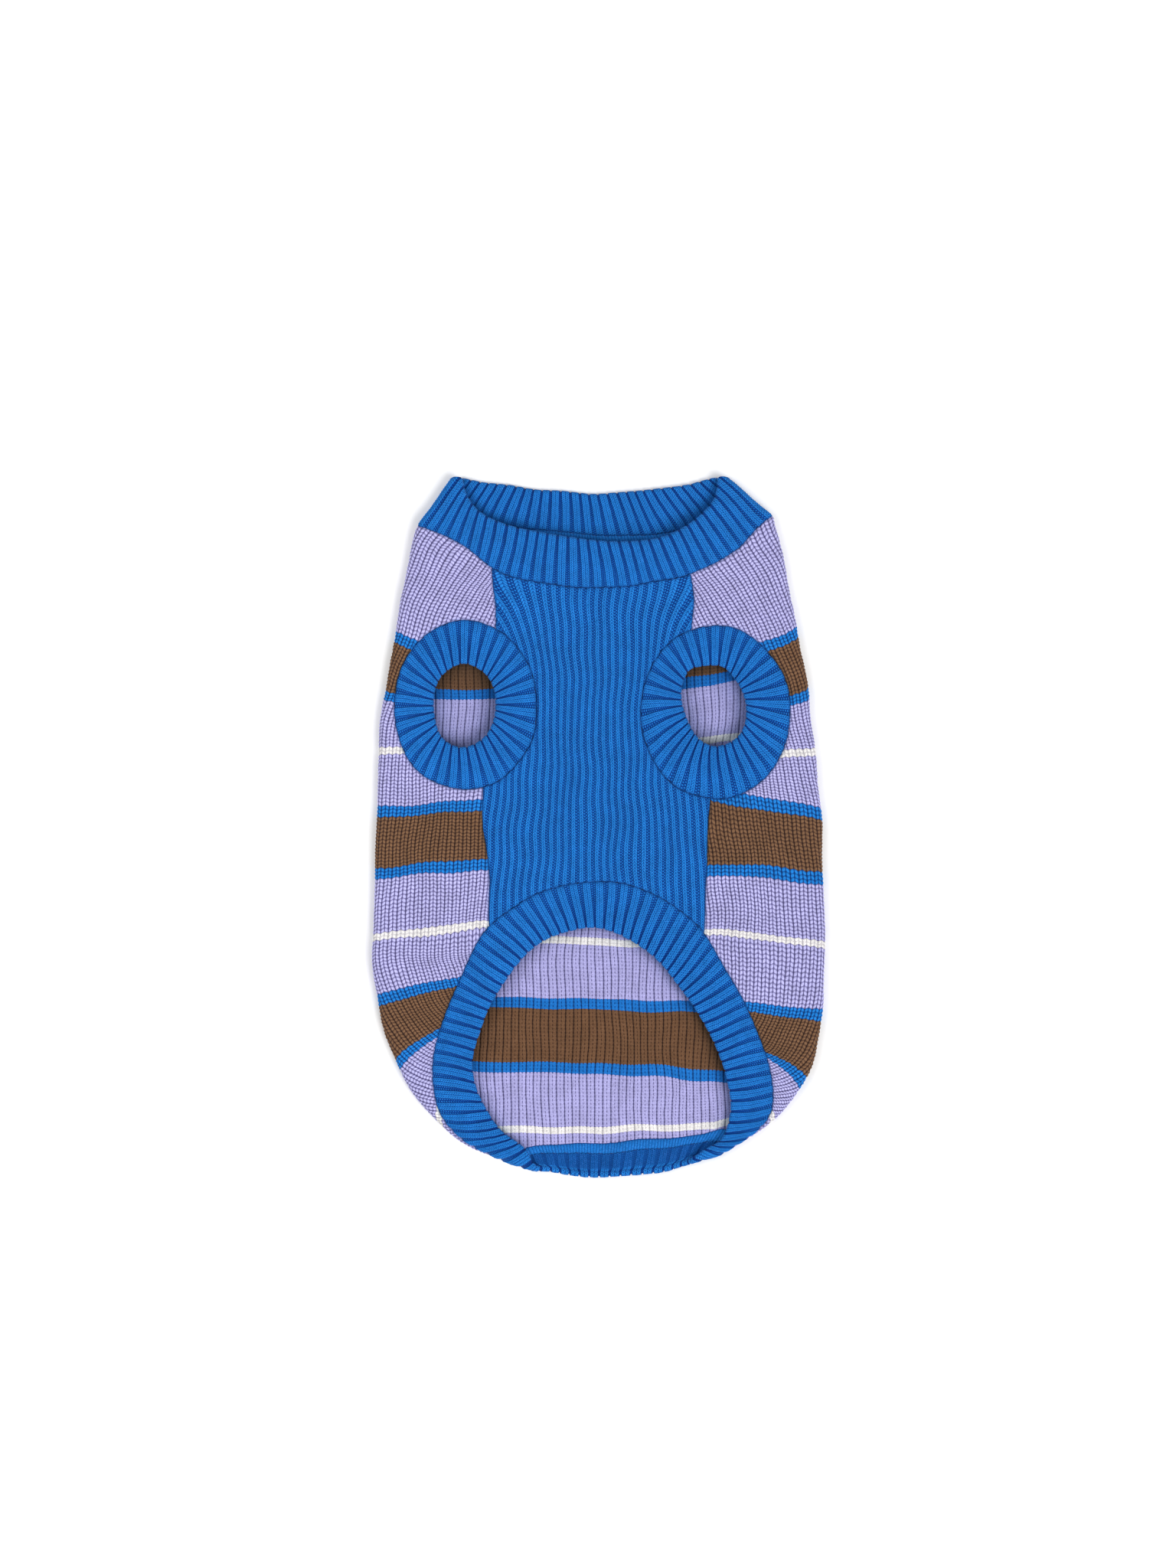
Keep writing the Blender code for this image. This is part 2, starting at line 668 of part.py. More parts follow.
def side_rib_lines(loop):
    """A line along each crest and groove of both sides, in the unfolded plane."""
    (_, low), (_, high) = loop.min(0), loop.max(0)
    heights = np.linspace(low, high, round((high - low) / SIDE_ROW_STEP) + 1)
    across = np.linspace(SIDE_START, np.abs(loop[:, 0]).max(), LINE_SAMPLES)
    numbers = np.arange(round(2 * SIDE_START / SIDE_RIB_PITCH), 2 * across[-1] / SIDE_RIB_PITCH) / 2
    lines = []
    for side in (-1.0, 1.0):
        table = []
        for height in heights:
            found = side * side_rib_number(np.column_stack([side * across, np.full(len(across), height)]))
            table.append(side * np.interp(numbers, found, across))
        lines += [np.column_stack([column, heights]) for column in np.array(table).T]
    return lines


def fold_lines():
    """Lines along the rounded fold of the back panel, in the unfolded plane."""
    steps = np.linspace(-FOLD_RADIUS, FOLD_END, FOLD_LINES + 1)
    line = EDGE.points[1:-1][::FOLD_ROW_SKIP]
    out = EDGE.outward[1:-1][::FOLD_ROW_SKIP]
    return [line + out * step for step in steps]


def rib_rise(numbers, height):
    """Height of a rib's crest or groove from its number."""
    return height * (0.5 + 0.5 * np.cos(2 * math.pi * numbers))


def make_belly_panel(material):
    """The ribbed belly panel, which lies on the belly side between its two seams."""
    loop = shrink(belly_outline(), HALF_GAP)
    points, edges = rows_inside(belly_rib_lines(loop), loop, RIB_MARGIN)
    plan, faces, ring = triangles_in(loop, points, edges)
    rise = rib_rise(belly_rib_number(plan), BELLY_RIB_RISE)
    rise *= smooth_step(room(plan, loop) / RIB_MARGIN)
    outer = (lay_on_belly(plan, -rise), faces, ring)
    plan, faces, ring = triangles_in(loop, grid_inside(loop, PLAIN_STEP, PLAIN_MARGIN), [])
    inner = (lay_on_belly(plan, PANEL_WALL), faces, ring)
    return add_object("belly_panel", cloth_solid(outer, inner), material)


def far_from_fold(places):
    """Distance of unfolded places from the bent strip: 0 within it, and below 0 on the back."""
    _, _, far = EDGE.nearest(places)
    return np.where(far < 0, np.minimum(far + FOLD_RADIUS, 0.0), np.maximum(far - FOLD_END, 0.0))


def make_back_panel(material):
    """The striped back panel, folded round both sides of the sweater."""
    loop = shrink(back_outline(), HALF_GAP)
    bends, bend_edges = rows_inside(fold_lines(), loop, RIB_MARGIN)
    ribs, rib_edges = rows_inside(side_rib_lines(loop), loop, RIB_MARGIN, FOLD_END + HALF_GAP)
    rib_edges = [(start + len(bends), end + len(bends)) for start, end in rib_edges]
    plain = grid_inside(loop, PLAIN_STEP, PLAIN_MARGIN)
    away = far_from_fold(plain)
    points = np.vstack([bends, ribs, plain[away < -PLAIN_MARGIN]])
    places, faces, ring = triangles_in(loop, points, bend_edges + rib_edges)
    rise = rib_rise(side_rib_number(places), SIDE_RIB_RISE) * (far_from_fold(places) > HALF_GAP)
    rise *= smooth_step(room(places, loop) / RIB_MARGIN)
    outer = (fold(places, -rise), faces, ring)
    points = np.vstack([bends, plain[np.abs(away) > PLAIN_MARGIN]])
    places, faces, ring = triangles_in(loop, points, bend_edges)
    inner = (fold(places, PANEL_WALL), faces, ring)
    return add_object("back_panel", cloth_solid(outer, inner), material)


def ring_solid(outer_rows, inner_rows):
    """Close two faces of a ring, each a list of closed rows from one edge to the other."""
    around = len(outer_rows[0])
    mesh = bmesh.new()
    outer = [[mesh.verts.new(Vector(point) * MM) for point in row] for row in outer_rows]
    inner = [[mesh.verts.new(Vector(point) * MM) for point in row] for row in inner_rows]
    walls = outer + inner[::-1]
    for lower, upper in zip(walls, walls[1:] + walls[:1]):
        for at in range(around):
            after = (at + 1) % around
            mesh.faces.new([lower[at], lower[after], upper[after], upper[at]])
    bmesh.ops.recalc_face_normals(mesh, faces=mesh.faces)
    return mesh


def ring_normals(rows):
    """The way out of a ring's face at each of its points."""
    grid = np.array(rows)
    around = np.roll(grid, -1, axis=1) - np.roll(grid, 1, axis=1)
    along = np.gradient(grid, axis=0)
    normal = np.cross(around, along)
    return normal / np.linalg.norm(normal, axis=2)[..., None]


def make_cuff(name, seam, hole, material):
    """A ribbed leg cuff, lying flat as a ring in its leg hole."""
    columns = 2 * CUFF_RIBS
    angles = np.linspace(0.0, 2 * math.pi, columns, endpoint=False)
    crest = BAND_RIB_RISE * (np.arange(columns) % 2)
    outer_rows, inner_rows = [], []
    for share in CUFF_ROWS:
        half_x = (seam.half_x - SEAM_GAP) * (1 - share) + hole.half_x * share
        half_y = (seam.half_y - SEAM_GAP) * (1 - share) + hole.half_y * share
        middle_x = seam.x * (1 - share) + hole.x * share
        middle_y = seam.y * (1 - share) + hole.y * share
        plan = np.column_stack([middle_x + half_x * np.cos(angles), middle_y + half_y * np.sin(angles)])
        swell = CUFF_SWELL * math.sin(math.pi * share)
        outer_rows.append(lay_on_belly(plan, -crest - swell))
        inner_rows.append(lay_on_belly(plan, PANEL_WALL - swell))
    return add_object(name, ring_solid(outer_rows, inner_rows), material)


def hem_columns():
    """Places of the hem band's ribs and grooves, counted in stations and evenly spaced."""
    at = np.linspace(0.0, len(HEM), SEAM_SAMPLES * len(HEM) + 1)
    (seam, _, _), (free, _, _) = hem_sides(at)
    along = lengths_along((seam + free) / 2)
    return np.interp(np.linspace(0.0, along[-1], 2 * HEM_RIBS, endpoint=False), along, at)


def make_hem_band(material):
    """The ribbed band round the belly cut and the tail, bent round the fold with the cloth."""
    columns = hem_columns()
    crest = BAND_RIB_RISE * (np.arange(len(columns)) % 2)
    (seam_plan, seam_flat, seam_lies), (free_plan, free_flat, free_lies) = hem_sides(columns)
    lies = (seam_lies & free_lies)[:, None]
    across = np.where(lies, free_plan - seam_plan, free_flat - seam_flat)
    seam = np.where(lies, seam_plan, seam_flat)
    run = np.roll(seam, -1, axis=0) - np.roll(seam, 1, axis=0)
    turn = np.abs(run[:, 0] * across[:, 1] - run[:, 1] * across[:, 0])
    start = HALF_GAP * np.where(lies[:, 0], 1.0, FOLD_GAP_SHARE) * np.linalg.norm(run, axis=1) / turn
    outer_rows, inner_rows = [], []
    for share in HEM_ROWS:
        part = (start + (1 - start) * share)[:, None]
        flat = seam_flat * (1 - part) + free_flat * part
        plan = seam_plan * (1 - part) + free_plan * part
        _, _, far = EDGE.nearest(flat)
        raise_outer = crest * (lies[:, 0] | (far > FOLD_MIDDLE))
        raise_inner = crest * (~lies[:, 0] & (far < -FOLD_RADIUS))
        folded = fold(flat, -raise_outer), fold(flat, BAND_WALL + raise_inner)
        lying = lay_on_belly(plan, -crest), lay_on_belly(plan, BAND_WALL)
        outer_rows.append(np.where(lies, lying[0], folded[0]))
        inner_rows.append(np.where(lies, lying[1], folded[1]))
    return add_object("hem_band", ring_solid(outer_rows, inner_rows), material)


def along_between(path, first, last, count):
    """Places that part a seam evenly, in space, between two of its places."""
    at = np.linspace(first, last, LINE_SAMPLES)
    along = lengths_along(path(at))
    return np.interp(np.linspace(0.0, along[-1], count, endpoint=False), along, at)


def neck_in_space(at, inward=0.0):
    """The neck seam in space, inward millimetres inside the cloth's outer face."""
    in_plan, in_flat, lies = neck_seam(at)
    return np.where(lies[:, None], lay_on_belly(in_plan, inward), fold(in_flat, inward))


def neck_columns():
    """Where the collar's ribs and grooves leave the neck seam: front, right fold, back, left fold."""
    at = np.linspace(0.0, len(NECK), SEAM_SAMPLES * len(NECK) + 1)
    _, in_flat, _ = neck_seam(at)
    _, _, far = EDGE.nearest(in_flat)
    over = at[far > FOLD_END]
    under = at[far < -FOLD_RADIUS]
    corners = (over[0], over[-1], under[0], under[-1], len(NECK) + over[0])
    counts = (2 * COLLAR_FRONT_RIBS, COLLAR_FOLD_COLUMNS, 2 * COLLAR_BACK_RIBS, COLLAR_FOLD_COLUMNS)
    parts = zip(corners, corners[1:], counts)
    return np.concatenate([along_between(neck_in_space, *part) for part in parts])


def collar_free_edge():
    """The collar's free edge in space, with the same columns as the neck seam."""
    way = np.array(COLLAR_FREE_RIGHT) - np.array(COLLAR_FREE_LEFT)
    way /= np.linalg.norm(way)
    left, right = np.array(COLLAR_FREE_LEFT), np.array(COLLAR_FREE_RIGHT)
    left, right = left + way * FOLD_RADIUS, right - way * FOLD_RADIUS
    front_count, back_count = 2 * COLLAR_FRONT_RIBS, 2 * COLLAR_BACK_RIBS
    front = smooth_line(np.vstack([left, COLLAR_FREE_FRONT, right]), count=front_count)
    back = smooth_line(np.vstack([right, COLLAR_FREE_BACK, left]), count=back_count)
    arch = np.sin(math.pi * np.arange(front_count) / front_count) ** COLLAR_ARCH_FULLNESS
    upper = np.column_stack([front[:-1], 2 * FOLD_RADIUS + COLLAR_ARCH * arch])
    lower = np.column_stack([back[:-1], np.zeros(back_count)])
    turns = math.pi * np.arange(COLLAR_FOLD_COLUMNS) / COLLAR_FOLD_COLUMNS
    aside, height = FOLD_RADIUS * np.sin(turns), FOLD_RADIUS * (1 + np.cos(turns))
    right_fold = np.column_stack([right + aside[:, None] * way, height])
    left_fold = np.column_stack([left - aside[:, None] * way, 2 * FOLD_RADIUS - height])
    return np.vstack([upper, right_fold, lower, left_fold])


def make_collar(material):
    """The ribbed collar: a tube lying flat, its open end towards +Y."""
    at = neck_columns()
    seam, free = neck_in_space(at), collar_free_edge()
    start = SEAM_GAP / np.linalg.norm(free - seam, axis=1)
    rows = []
    for share in COLLAR_ROWS:
        part = (start + (1 - start) * share)[:, None]
        rows.append(seam * (1 - part) + free * part)
    normals = ring_normals(rows)
    normals[0] = (seam - neck_in_space(at, BAND_WALL)) / BAND_WALL
    columns = np.arange(len(seam))
    crest = BAND_RIB_RISE * (columns % 2)
    facing_up = columns < 2 * COLLAR_FRONT_RIBS + COLLAR_FOLD_COLUMNS
    outer_rise = (crest * facing_up)[:, None]
    inner_rise = (crest * ~facing_up)[:, None]
    outer_rows = [row + normal * outer_rise for row, normal in zip(rows, normals)]
    inner_rows = [row - normal * (BAND_WALL + inner_rise) for row, normal in zip(rows, normals)]
    return add_object("collar", ring_solid(outer_rows, inner_rows), material)


def main():
    """Build every piece of the sweater."""
    clear_scene()
    blue = yarn_material("blue_rib", BLUE_YARN)
    striped = yarn_material("striped_knit", LILAC_YARN)
    make_back_panel(striped)
    make_belly_panel(blue)
    make_collar(blue)
    make_cuff("leg_cuff_left", LEG_LEFT_SEAM, LEG_LEFT_HOLE, blue)
    make_cuff("leg_cuff_right", LEG_RIGHT_SEAM, LEG_RIGHT_HOLE, blue)
    make_hem_band(blue)


main()
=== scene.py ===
"""Looks for a knitted dog sweater that lies flat with its belly side up.

X runs to the right, Y towards the neck and Z up. Lengths are in millimetres until a mesh is written,
which is in metres.

The back panel is worked out in an unfolded plane, where the back lies as it is and the two sides lie
outside the folded edge. Each visible face of each piece is a lattice of points that follows the
knitting, rib by rib and course by course, so every leg of a stitch is raised in the mesh. The same
rib and course numbers are kept as the map "Knit", from which the materials work out their colours,
stitches and the painted shade of their hollows. The point attribute "Shade" holds painted shade
for seams, pockets, linings and window edges.
"""
import logging
import math
from dataclasses import dataclass, replace
from enum import Enum
from typing import NamedTuple, Optional, Sequence, Union

import bpy
import numpy as np
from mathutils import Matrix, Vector
from mathutils.geometry import delaunay_2d_cdt
from mathutils.kdtree import KDTree


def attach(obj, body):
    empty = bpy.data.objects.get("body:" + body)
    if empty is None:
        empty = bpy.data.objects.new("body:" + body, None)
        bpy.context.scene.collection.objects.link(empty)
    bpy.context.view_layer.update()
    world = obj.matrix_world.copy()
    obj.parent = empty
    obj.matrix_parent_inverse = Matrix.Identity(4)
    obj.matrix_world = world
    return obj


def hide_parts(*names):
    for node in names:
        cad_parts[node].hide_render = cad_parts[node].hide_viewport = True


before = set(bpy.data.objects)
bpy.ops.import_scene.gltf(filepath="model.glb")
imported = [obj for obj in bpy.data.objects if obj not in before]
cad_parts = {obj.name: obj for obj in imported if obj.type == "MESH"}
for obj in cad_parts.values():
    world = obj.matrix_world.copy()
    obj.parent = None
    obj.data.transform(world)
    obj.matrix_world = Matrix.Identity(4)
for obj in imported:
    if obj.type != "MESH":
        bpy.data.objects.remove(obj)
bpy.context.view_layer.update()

Array = np.ndarray
Socket = bpy.types.NodeSocket
Colour = tuple[float, float, float]
Place = tuple[float, float, float]
Span = tuple[float, float]

LOG = logging.getLogger("sweater")
KNIT_MAP = "Knit"
# The point attribute that holds painted shade for seams, pockets, linings and window edges.
SHADE_MAP = "Shade"
BODY = "root"
MM = 0.001
TINY = 1e-9
FULL_TURN = 2.0 * math.pi

# How often a curve is read between two of its points: for outlines, and for numbering along it.
READS_EACH = 24
STATION_READS = 60


class Layer(Enum):
    """Which layer of the flat sweater a seam's point lies on."""

    BELLY = "belly"
    FOLD = "fold"
    BACK = "back"


class Slot(Enum):
    """The record's material slots."""

    BLUE = "blue_rib"
    STRIPED = "striped_knit"


class Held(Enum):
    """How a piece of cloth lies."""

    LAID = "laid"
    FOLDED = "folded"


class Point(NamedTuple):
    """A place in plan."""

    x: float
    y: float


class Oval(NamedTuple):
    """An ellipse in plan: its middle and its two half widths."""

    x: float
    y: float
    half_x: float
    half_y: float


class LegHole(NamedTuple):
    """A leg hole: where its cuff is sewn in, and the middle and outline of the cuff's free edge."""

    seam: Oval
    middle: Point
    edge: tuple[Point, ...]


class SeamStation(NamedTuple):
    """One point of a seam, and the layer it lies on."""

    x: float
    y: float
    layer: Layer = Layer.BELLY


class BandStation(NamedTuple):
    """One section of the hem band: its sewn side and its free side, each with its layer."""

    seam_x: float
    seam_y: float
    free_x: float
    free_y: float
    seam_layer: Layer = Layer.BELLY
    free_layer: Layer = Layer.BELLY


class CourseLine(NamedTuple):
    """The heights at which one course of the back panel lies, from left to right when unfolded."""

    course: float
    far_left: float
    left: float
    left_hole: float
    middle: float
    right_hole: float
    right_side: float
    right: float
    far_right: float


class Window(NamedTuple):
    """A rectangle in plan through which the inside of the back shows."""

    low_x: float
    low_y: float
    high_x: float
    high_y: float


BELLY, FOLD, BACK = Layer.BELLY, Layer.FOLD, Layer.BACK


def table(kind: type, *values: tuple) -> tuple:
    """A table whose rows have the named columns of their kind."""
    return tuple(kind(*row) for row in values)


# The folded edge, from the left end of the neck seam round the tail to the right end.
OUTLINE = table(
    Point,
    (-85.5, 141.0), (-87.4, 134.0), (-90.5, 120.8), (-94.9, 92.7), (-99.9, 68.9), (-102.8, 46.6),
    (-104.2, 14.2), (-105.8, -45.5), (-105.6, -67.9), (-100.6, -95.9), (-88.0, -123.7), (-69.7, -144.9),
    (-43.0, -158.2), (-11.0, -163.8), (10.3, -164.2), (31.1, -162.0), (59.2, -152.5), (84.4, -136.0),
    (97.4, -118.3), (103.4, -98.5), (105.9, -67.9), (105.0, -17.5), (102.4, 21.4), (99.9, 46.6),
    (97.7, 66.1), (92.7, 94.1), (87.3, 120.8), (83.4, 137.5), (81.9, 145.6),
)

# The neck seam, clockwise from the left fold: over the belly side, the right fold and the back.
NECK = table(
    SeamStation,
    (-84.8, 141.4, FOLD), (-66.8, 134.1), (-50.2, 121.5), (-30.4, 115.0), (0.2, 112.1), (24.3, 114.7),
    (43.0, 118.6), (64.6, 130.5), (81.2, 146.0, FOLD), (60.3, 140.9, BACK), (35.1, 136.3, BACK),
    (6.3, 134.5, BACK), (-33.3, 138.0, BACK), (-60.0, 140.4, BACK),
)
NECK_LEFT_SEAM = 2
NECK_RIGHT_SEAM = 6

# The seams between the belly panel and the back panel, above and below each leg hole.
SEAM_LEFT_ABOVE = table(Point, (-50.2, 121.5), (-48.6, 105.3), (-48.8, 92.7))
SEAM_LEFT_BELOW = table(Point, (-54.9, 18.1), (-54.2, 0.0), (-51.9, -22.0), (-50.9, -46.6))
SEAM_RIGHT_ABOVE = table(Point, (43.0, 118.6), (44.3, 106.0), (43.4, 92.1))
SEAM_RIGHT_BELOW = table(Point, (51.3, 12.9), (50.4, -6.3), (49.8, -30.0), (48.8, -50.2))

LEFT_LEG = LegHole(
    Oval(-62.8, 56.7, 33.8, 39.6),
    Point(-63.4, 56.9),
    table(
        Point,
        (-48.8, 56.9), (-53.1, 71.0), (-63.4, 76.9), (-73.7, 71.0), (-78.0, 56.9), (-73.7, 42.8),
        (-63.4, 36.9), (-53.1, 42.8),
    ),
)
RIGHT_LEG = LegHole(
    Oval(54.5, 53.5, 35.3, 40.7),
    Point(54.2, 56.9),
    table(
        Point,
        (68.5, 48.1), (68.1, 59.6), (63.1, 69.7), (57.3, 75.7), (49.6, 76.0), (42.9, 74.0), (38.9, 63.9),
        (40.0, 52.4), (45.8, 42.3), (55.1, 37.7), (63.8, 40.9),
    ),
)

# The hem band, clockwise from the middle of the belly cut.
HEM = table(
    BandStation,
    (3.1, -26.1, 2.3, -48.1), (17.1, -28.3, 12.4, -51.3), (31.1, -34.0, 21.1, -57.1),
    (42.3, -42.7, 29.3, -64.6), (48.8, -50.2, 34.4, -70.7), (60.3, -68.9, 42.7, -82.3),
    (68.2, -83.0, 49.1, -93.1), (74.7, -97.4, 55.3, -105.0), (79.4, -111.1, 59.6, -115.4),
    (80.8, -124.0, 61.7, -126.9), (79.7, -135.4, 61.0, -138.0), (74.0, -143.4, 57.8, -146.3),
    (59.4, -152.4, 50.2, -152.0, FOLD), (60.2, -142.6, 45.3, -156.0, BACK),
    (47.5, -145.0, 39.8, -159.3, BACK, FOLD), (31.5, -146.9, 28.6, -162.5, BACK, FOLD),
    (15.3, -148.0, 13.5, -164.0, BACK, FOLD), (-0.9, -148.9, -1.6, -164.2, BACK, FOLD),
    (-17.1, -149.4, -14.5, -163.4, BACK, FOLD), (-33.0, -150.6, -26.5, -161.6, BACK, FOLD),
    (-47.7, -156.3, -35.3, -151.2, FOLD), (-68.4, -143.7, -45.6, -142.6), (-75.2, -134.6, -52.7, -133.2),
    (-77.9, -119.7, -58.0, -123.1), (-77.6, -106.6, -59.4, -111.0), (-73.6, -91.6, -56.5, -97.4),
    (-68.2, -76.9, -51.3, -84.8), (-61.4, -61.7, -44.5, -73.3), (-50.9, -46.6, -35.0, -61.4),
    (-39.1, -36.9, -26.8, -54.5), (-25.0, -30.1, -17.6, -50.0), (-11.0, -26.8, -8.1, -47.6),
)
HEM_RIGHT_SEAM = 4
HEM_LEFT_SEAM = 28

# The collar's free edge: front from left to right, back from right to left, and the two folds.
COLLAR_FREE_LEFT = Point(-68.2, 164.4)
COLLAR_FREE_RIGHT = Point(58.5, 164.6)
COLLAR_FREE_FRONT = table(
    Point,
    (-61.8, 155.0), (-52.7, 145.5), (-30.4, 138.4), (10.3, 133.4), (31.1, 136.3), (44.2, 142.6),
    (53.6, 153.6),
)
COLLAR_FREE_BACK = table(Point, (40.0, 161.0), (20.0, 158.2), (-2.7, 157.1), (-25.0, 158.4), (-48.0, 161.2))

# Where each course of the back panel lies. Courses are counted upwards from the top of the first blue
# stripe, and the places from left to right are those in COURSE_PLACES.
COURSE_PLACES = (-160.0, -104.0, -63.0, 0.0, 54.0, 72.0, 104.0, 160.0)
COURSE_LINES = table(
    CourseLine,
    (-180, -226.7, -218.3, -219.8, -220.5, -219.1, -222.6, -228.8, -237.2),
    (-136, -150.8, -142.4, -143.8, -144.5, -142.6, -137.0, -152.8, -161.2),
    (-134, -147.5, -139.1, -140.6, -141.3, -139.4, -133.8, -149.6, -158.0),
    (-120, -121.4, -114.7, -115.4, -116.1, -119.7, -121.9, -125.8, -132.5),
    (-117, -117.0, -110.3, -110.7, -111.1, -113.9, -116.0, -119.7, -126.4),
    (-103, -87.0, -84.8, -85.1, -85.9, -88.4, -89.7, -92.0, -94.2),
    (-100, -80.1, -79.0, -79.7, -80.8, -83.0, -84.0, -85.9, -87.0),
    (-86, -45.8, -54.2, -54.9, -56.0, -56.3, -56.8, -57.8, -49.4),
    (-84, -42.5, -50.9, -51.3, -52.4, -53.1, -53.6, -54.5, -46.1),
    (-70, -17.2, -25.0, -25.0, -25.0, -25.0, -25.8, -27.2, -17.9),
    (-67, -11.8, -19.6, -19.6, -19.6, -19.6, -20.2, -21.2, -12.0),
    (-53, 11.8, 4.4, 4.4, 5.3, 6.8, 5.1, 2.4, 21.6),
    (-50, 16.8, 9.5, 9.5, 10.6, 12.4, 11.1, 8.6, 28.6),
    (-36, 39.6, 34.0, 34.0, 36.5, 39.5, 41.8, 33.9, 41.5),
    (-34, 42.3, 37.3, 37.3, 39.8, 42.9, 45.2, 37.7, 45.3),
    (-20, 60.3, 60.3, 60.3, 60.0, 66.7, 70.2, 59.6, 59.6),
    (-17, 63.5, 64.6, 64.8, 66.0, 72.0, 74.8, 64.6, 63.5),
    (0, 93.8, 92.7, 92.7, 95.6, 99.2, 97.4, 94.1, 95.2),
    (30, 144.5, 144.5, 144.5, 146.7, 149.6, 148.3, 146.0, 146.0),
)

# Where the inside of the back shows: through the belly cut and the two leg holes.
WINDOWS = table(
    Window,
    (-64.0, -152.0, 66.0, -44.0), (-82.0, 33.0, -45.0, 81.0), (35.0, 33.0, 74.0, 81.0),
)


@dataclass(frozen=True)
class ClothSizes:
    """Sizes that every piece of the sweater shares.

    The crown is how far the belly side's middle lies above its folds, and it is that high from
    crown_reach inside the folded edge. Past flat_depth inside, the cloth no longer bends there.
    """

    panel_wall: float = 2.0
    band_wall: float = 2.2
    fold_radius: float = 3.2
    seam_gap: float = 0.04
    crown: float = 3.2
    crown_reach: float = 45.0
    flat_depth: float = 20.0
    edge_step: float = 0.9
    outline_step: float = 1.0
    past_neck: float = 60.0
    near_edge: float = 1e-4

    @property
    def half_gap(self) -> float:
        """Half the gap between two pieces that are sewn together."""
        return self.seam_gap / 2.0

    @property
    def fold_end(self) -> float:
        """How far past the folded edge the bend ends, in the unfolded plane."""
        return (math.pi - 1.0) * self.fold_radius

    @property
    def fold_middle(self) -> float:
        """Where the middle of the bend lies, past the folded edge in the unfolded plane."""
        return (math.pi / 2.0 - 1.0) * self.fold_radius


SIZES = ClothSizes()


def smooth_step(value: Array) -> Array:
    """Ease numbers from 0 to 1, with those outside that range held at its ends."""
    held = np.clip(value, 0.0, 1.0)
    return held * held * (3.0 - 2.0 * held)


def curve_at(points: Sequence[Sequence[float]], place: Array, closed: bool = False) -> Array:
    """Read a smooth curve through points.

    Args:
        points: the points that the curve runs through.
        place: where to read it, counted in points from the first.
        closed: whether the curve runs on from the last point to the first.

    Returns:
        One point for each place.
    """
    known = np.asarray(points, float)
    count = len(known)
    place = np.asarray(place, float)
    if closed:
        first = np.floor(place).astype(int)
        near = [known[(first + shift) % count] for shift in (-1, 0, 1, 2)]
    else:
        first = np.clip(np.floor(place).astype(int), 0, count - 2)
        padded = np.vstack([2 * known[0] - known[1], known, 2 * known[-1] - known[-2]])
        near = [padded[first + 1 + shift] for shift in (-1, 0, 1, 2)]
    part = (place - first)[:, None]
    spans = [np.sqrt(np.linalg.norm(near[k + 1] - near[k], axis=1))[:, None] for k in range(3)]
    before, span, after = (np.maximum(length, TINY) for length in spans)
    leave = (near[1] - near[0]) / before - (near[2] - near[0]) / (before + span)
    leave = (leave + (near[2] - near[1]) / span) * span
    arrive = (near[2] - near[1]) / span - (near[3] - near[1]) / (span + after)
    arrive = (arrive + (near[3] - near[2]) / after) * span
    square, cube = part**2, part**3
    return (
        (2 * cube - 3 * square + 1) * near[1]
        + (cube - 2 * square + part) * leave
        + (3 * square - 2 * cube) * near[2]
        + (cube - square) * arrive
    )


def lengths_along(points: Array) -> Array:
    """Distance of each point from the first, along the line."""
    steps = np.linalg.norm(np.diff(points, axis=0), axis=1)
    return np.concatenate([[0.0], np.cumsum(steps)])


def unit(vectors: Array) -> Array:
    """Vectors of the same ways with a length of 1."""
    return vectors / np.linalg.norm(vectors, axis=1)[:, None]


def line_at(points: Array, known: Array, wanted: Array) -> Array:
    """Read a line, whose points have known rising numbers, at the wanted numbers."""
    return np.stack([np.interp(wanted, known, points[:, k]) for k in range(points.shape[1])], axis=1)


def smooth_line(points: Sequence[Sequence[float]], step: float = SIZES.edge_step) -> Array:
    """Even points on a smooth curve.

    Args:
        points: the points that the curve runs through.
        step: about how far apart the even points are.

    Returns:
        The even points, with the first and last of the given ones.
    """
    last = len(points) - 1
    fine = curve_at(points, np.linspace(0, last, READS_EACH * last + 1))
    along = lengths_along(fine)
    pieces = max(1, round(along[-1] / step))
    return line_at(fine, along, np.linspace(0.0, along[-1], pieces + 1))


class Polyline:
    """A line of points in plan that finds its nearest place to any other."""

    def __init__(self, points: Array, closed: bool = False) -> None:
        """Store the line.

        Args:
            points: its points, each near the next.
            closed: whether it runs on from the last point to the first.
        """
        self.points = points
        self.ahead = np.roll(points, -1, axis=0) - points if closed else np.diff(points, axis=0)
        self.tree = KDTree(len(points))
        for at, (x, y) in enumerate(points.tolist()):
            self.tree.insert((x, y, 0.0), at)
        self.tree.balance()

    def nearest(self, places: Array) -> tuple[Array, Array]:
        """Find the nearest place on the line.

        Args:
            places: places in plan.

        Returns:
            The nearest place to each, and the number of the segment that it is on.
        """
        corner = np.array([self.tree.find((x, y, 0.0))[1] for x, y in places.tolist()], dtype=int)
        count = len(self.ahead)
        feet, gaps, segments = [], [], []
        for shift in (-1, 0):
            segment = (corner + shift) % count
            start, step = self.points[segment], self.ahead[segment]
            share = ((places - start) * step).sum(1) / np.maximum((step**2).sum(1), TINY)
            foot = start + np.clip(share, 0.0, 1.0)[:, None] * step
            feet.append(foot)
            gaps.append(((places - foot) ** 2).sum(1))
            segments.append(segment)
        later = gaps[1] < gaps[0]
        foot = np.where(later[:, None], feet[1], feet[0])
        return foot, np.where(later, segments[1], segments[0])

    def distance(self, places: Array) -> Array:
        """Distance of each place from the line."""
        foot, _ = self.nearest(places)
        return np.linalg.norm(places - foot, axis=1)


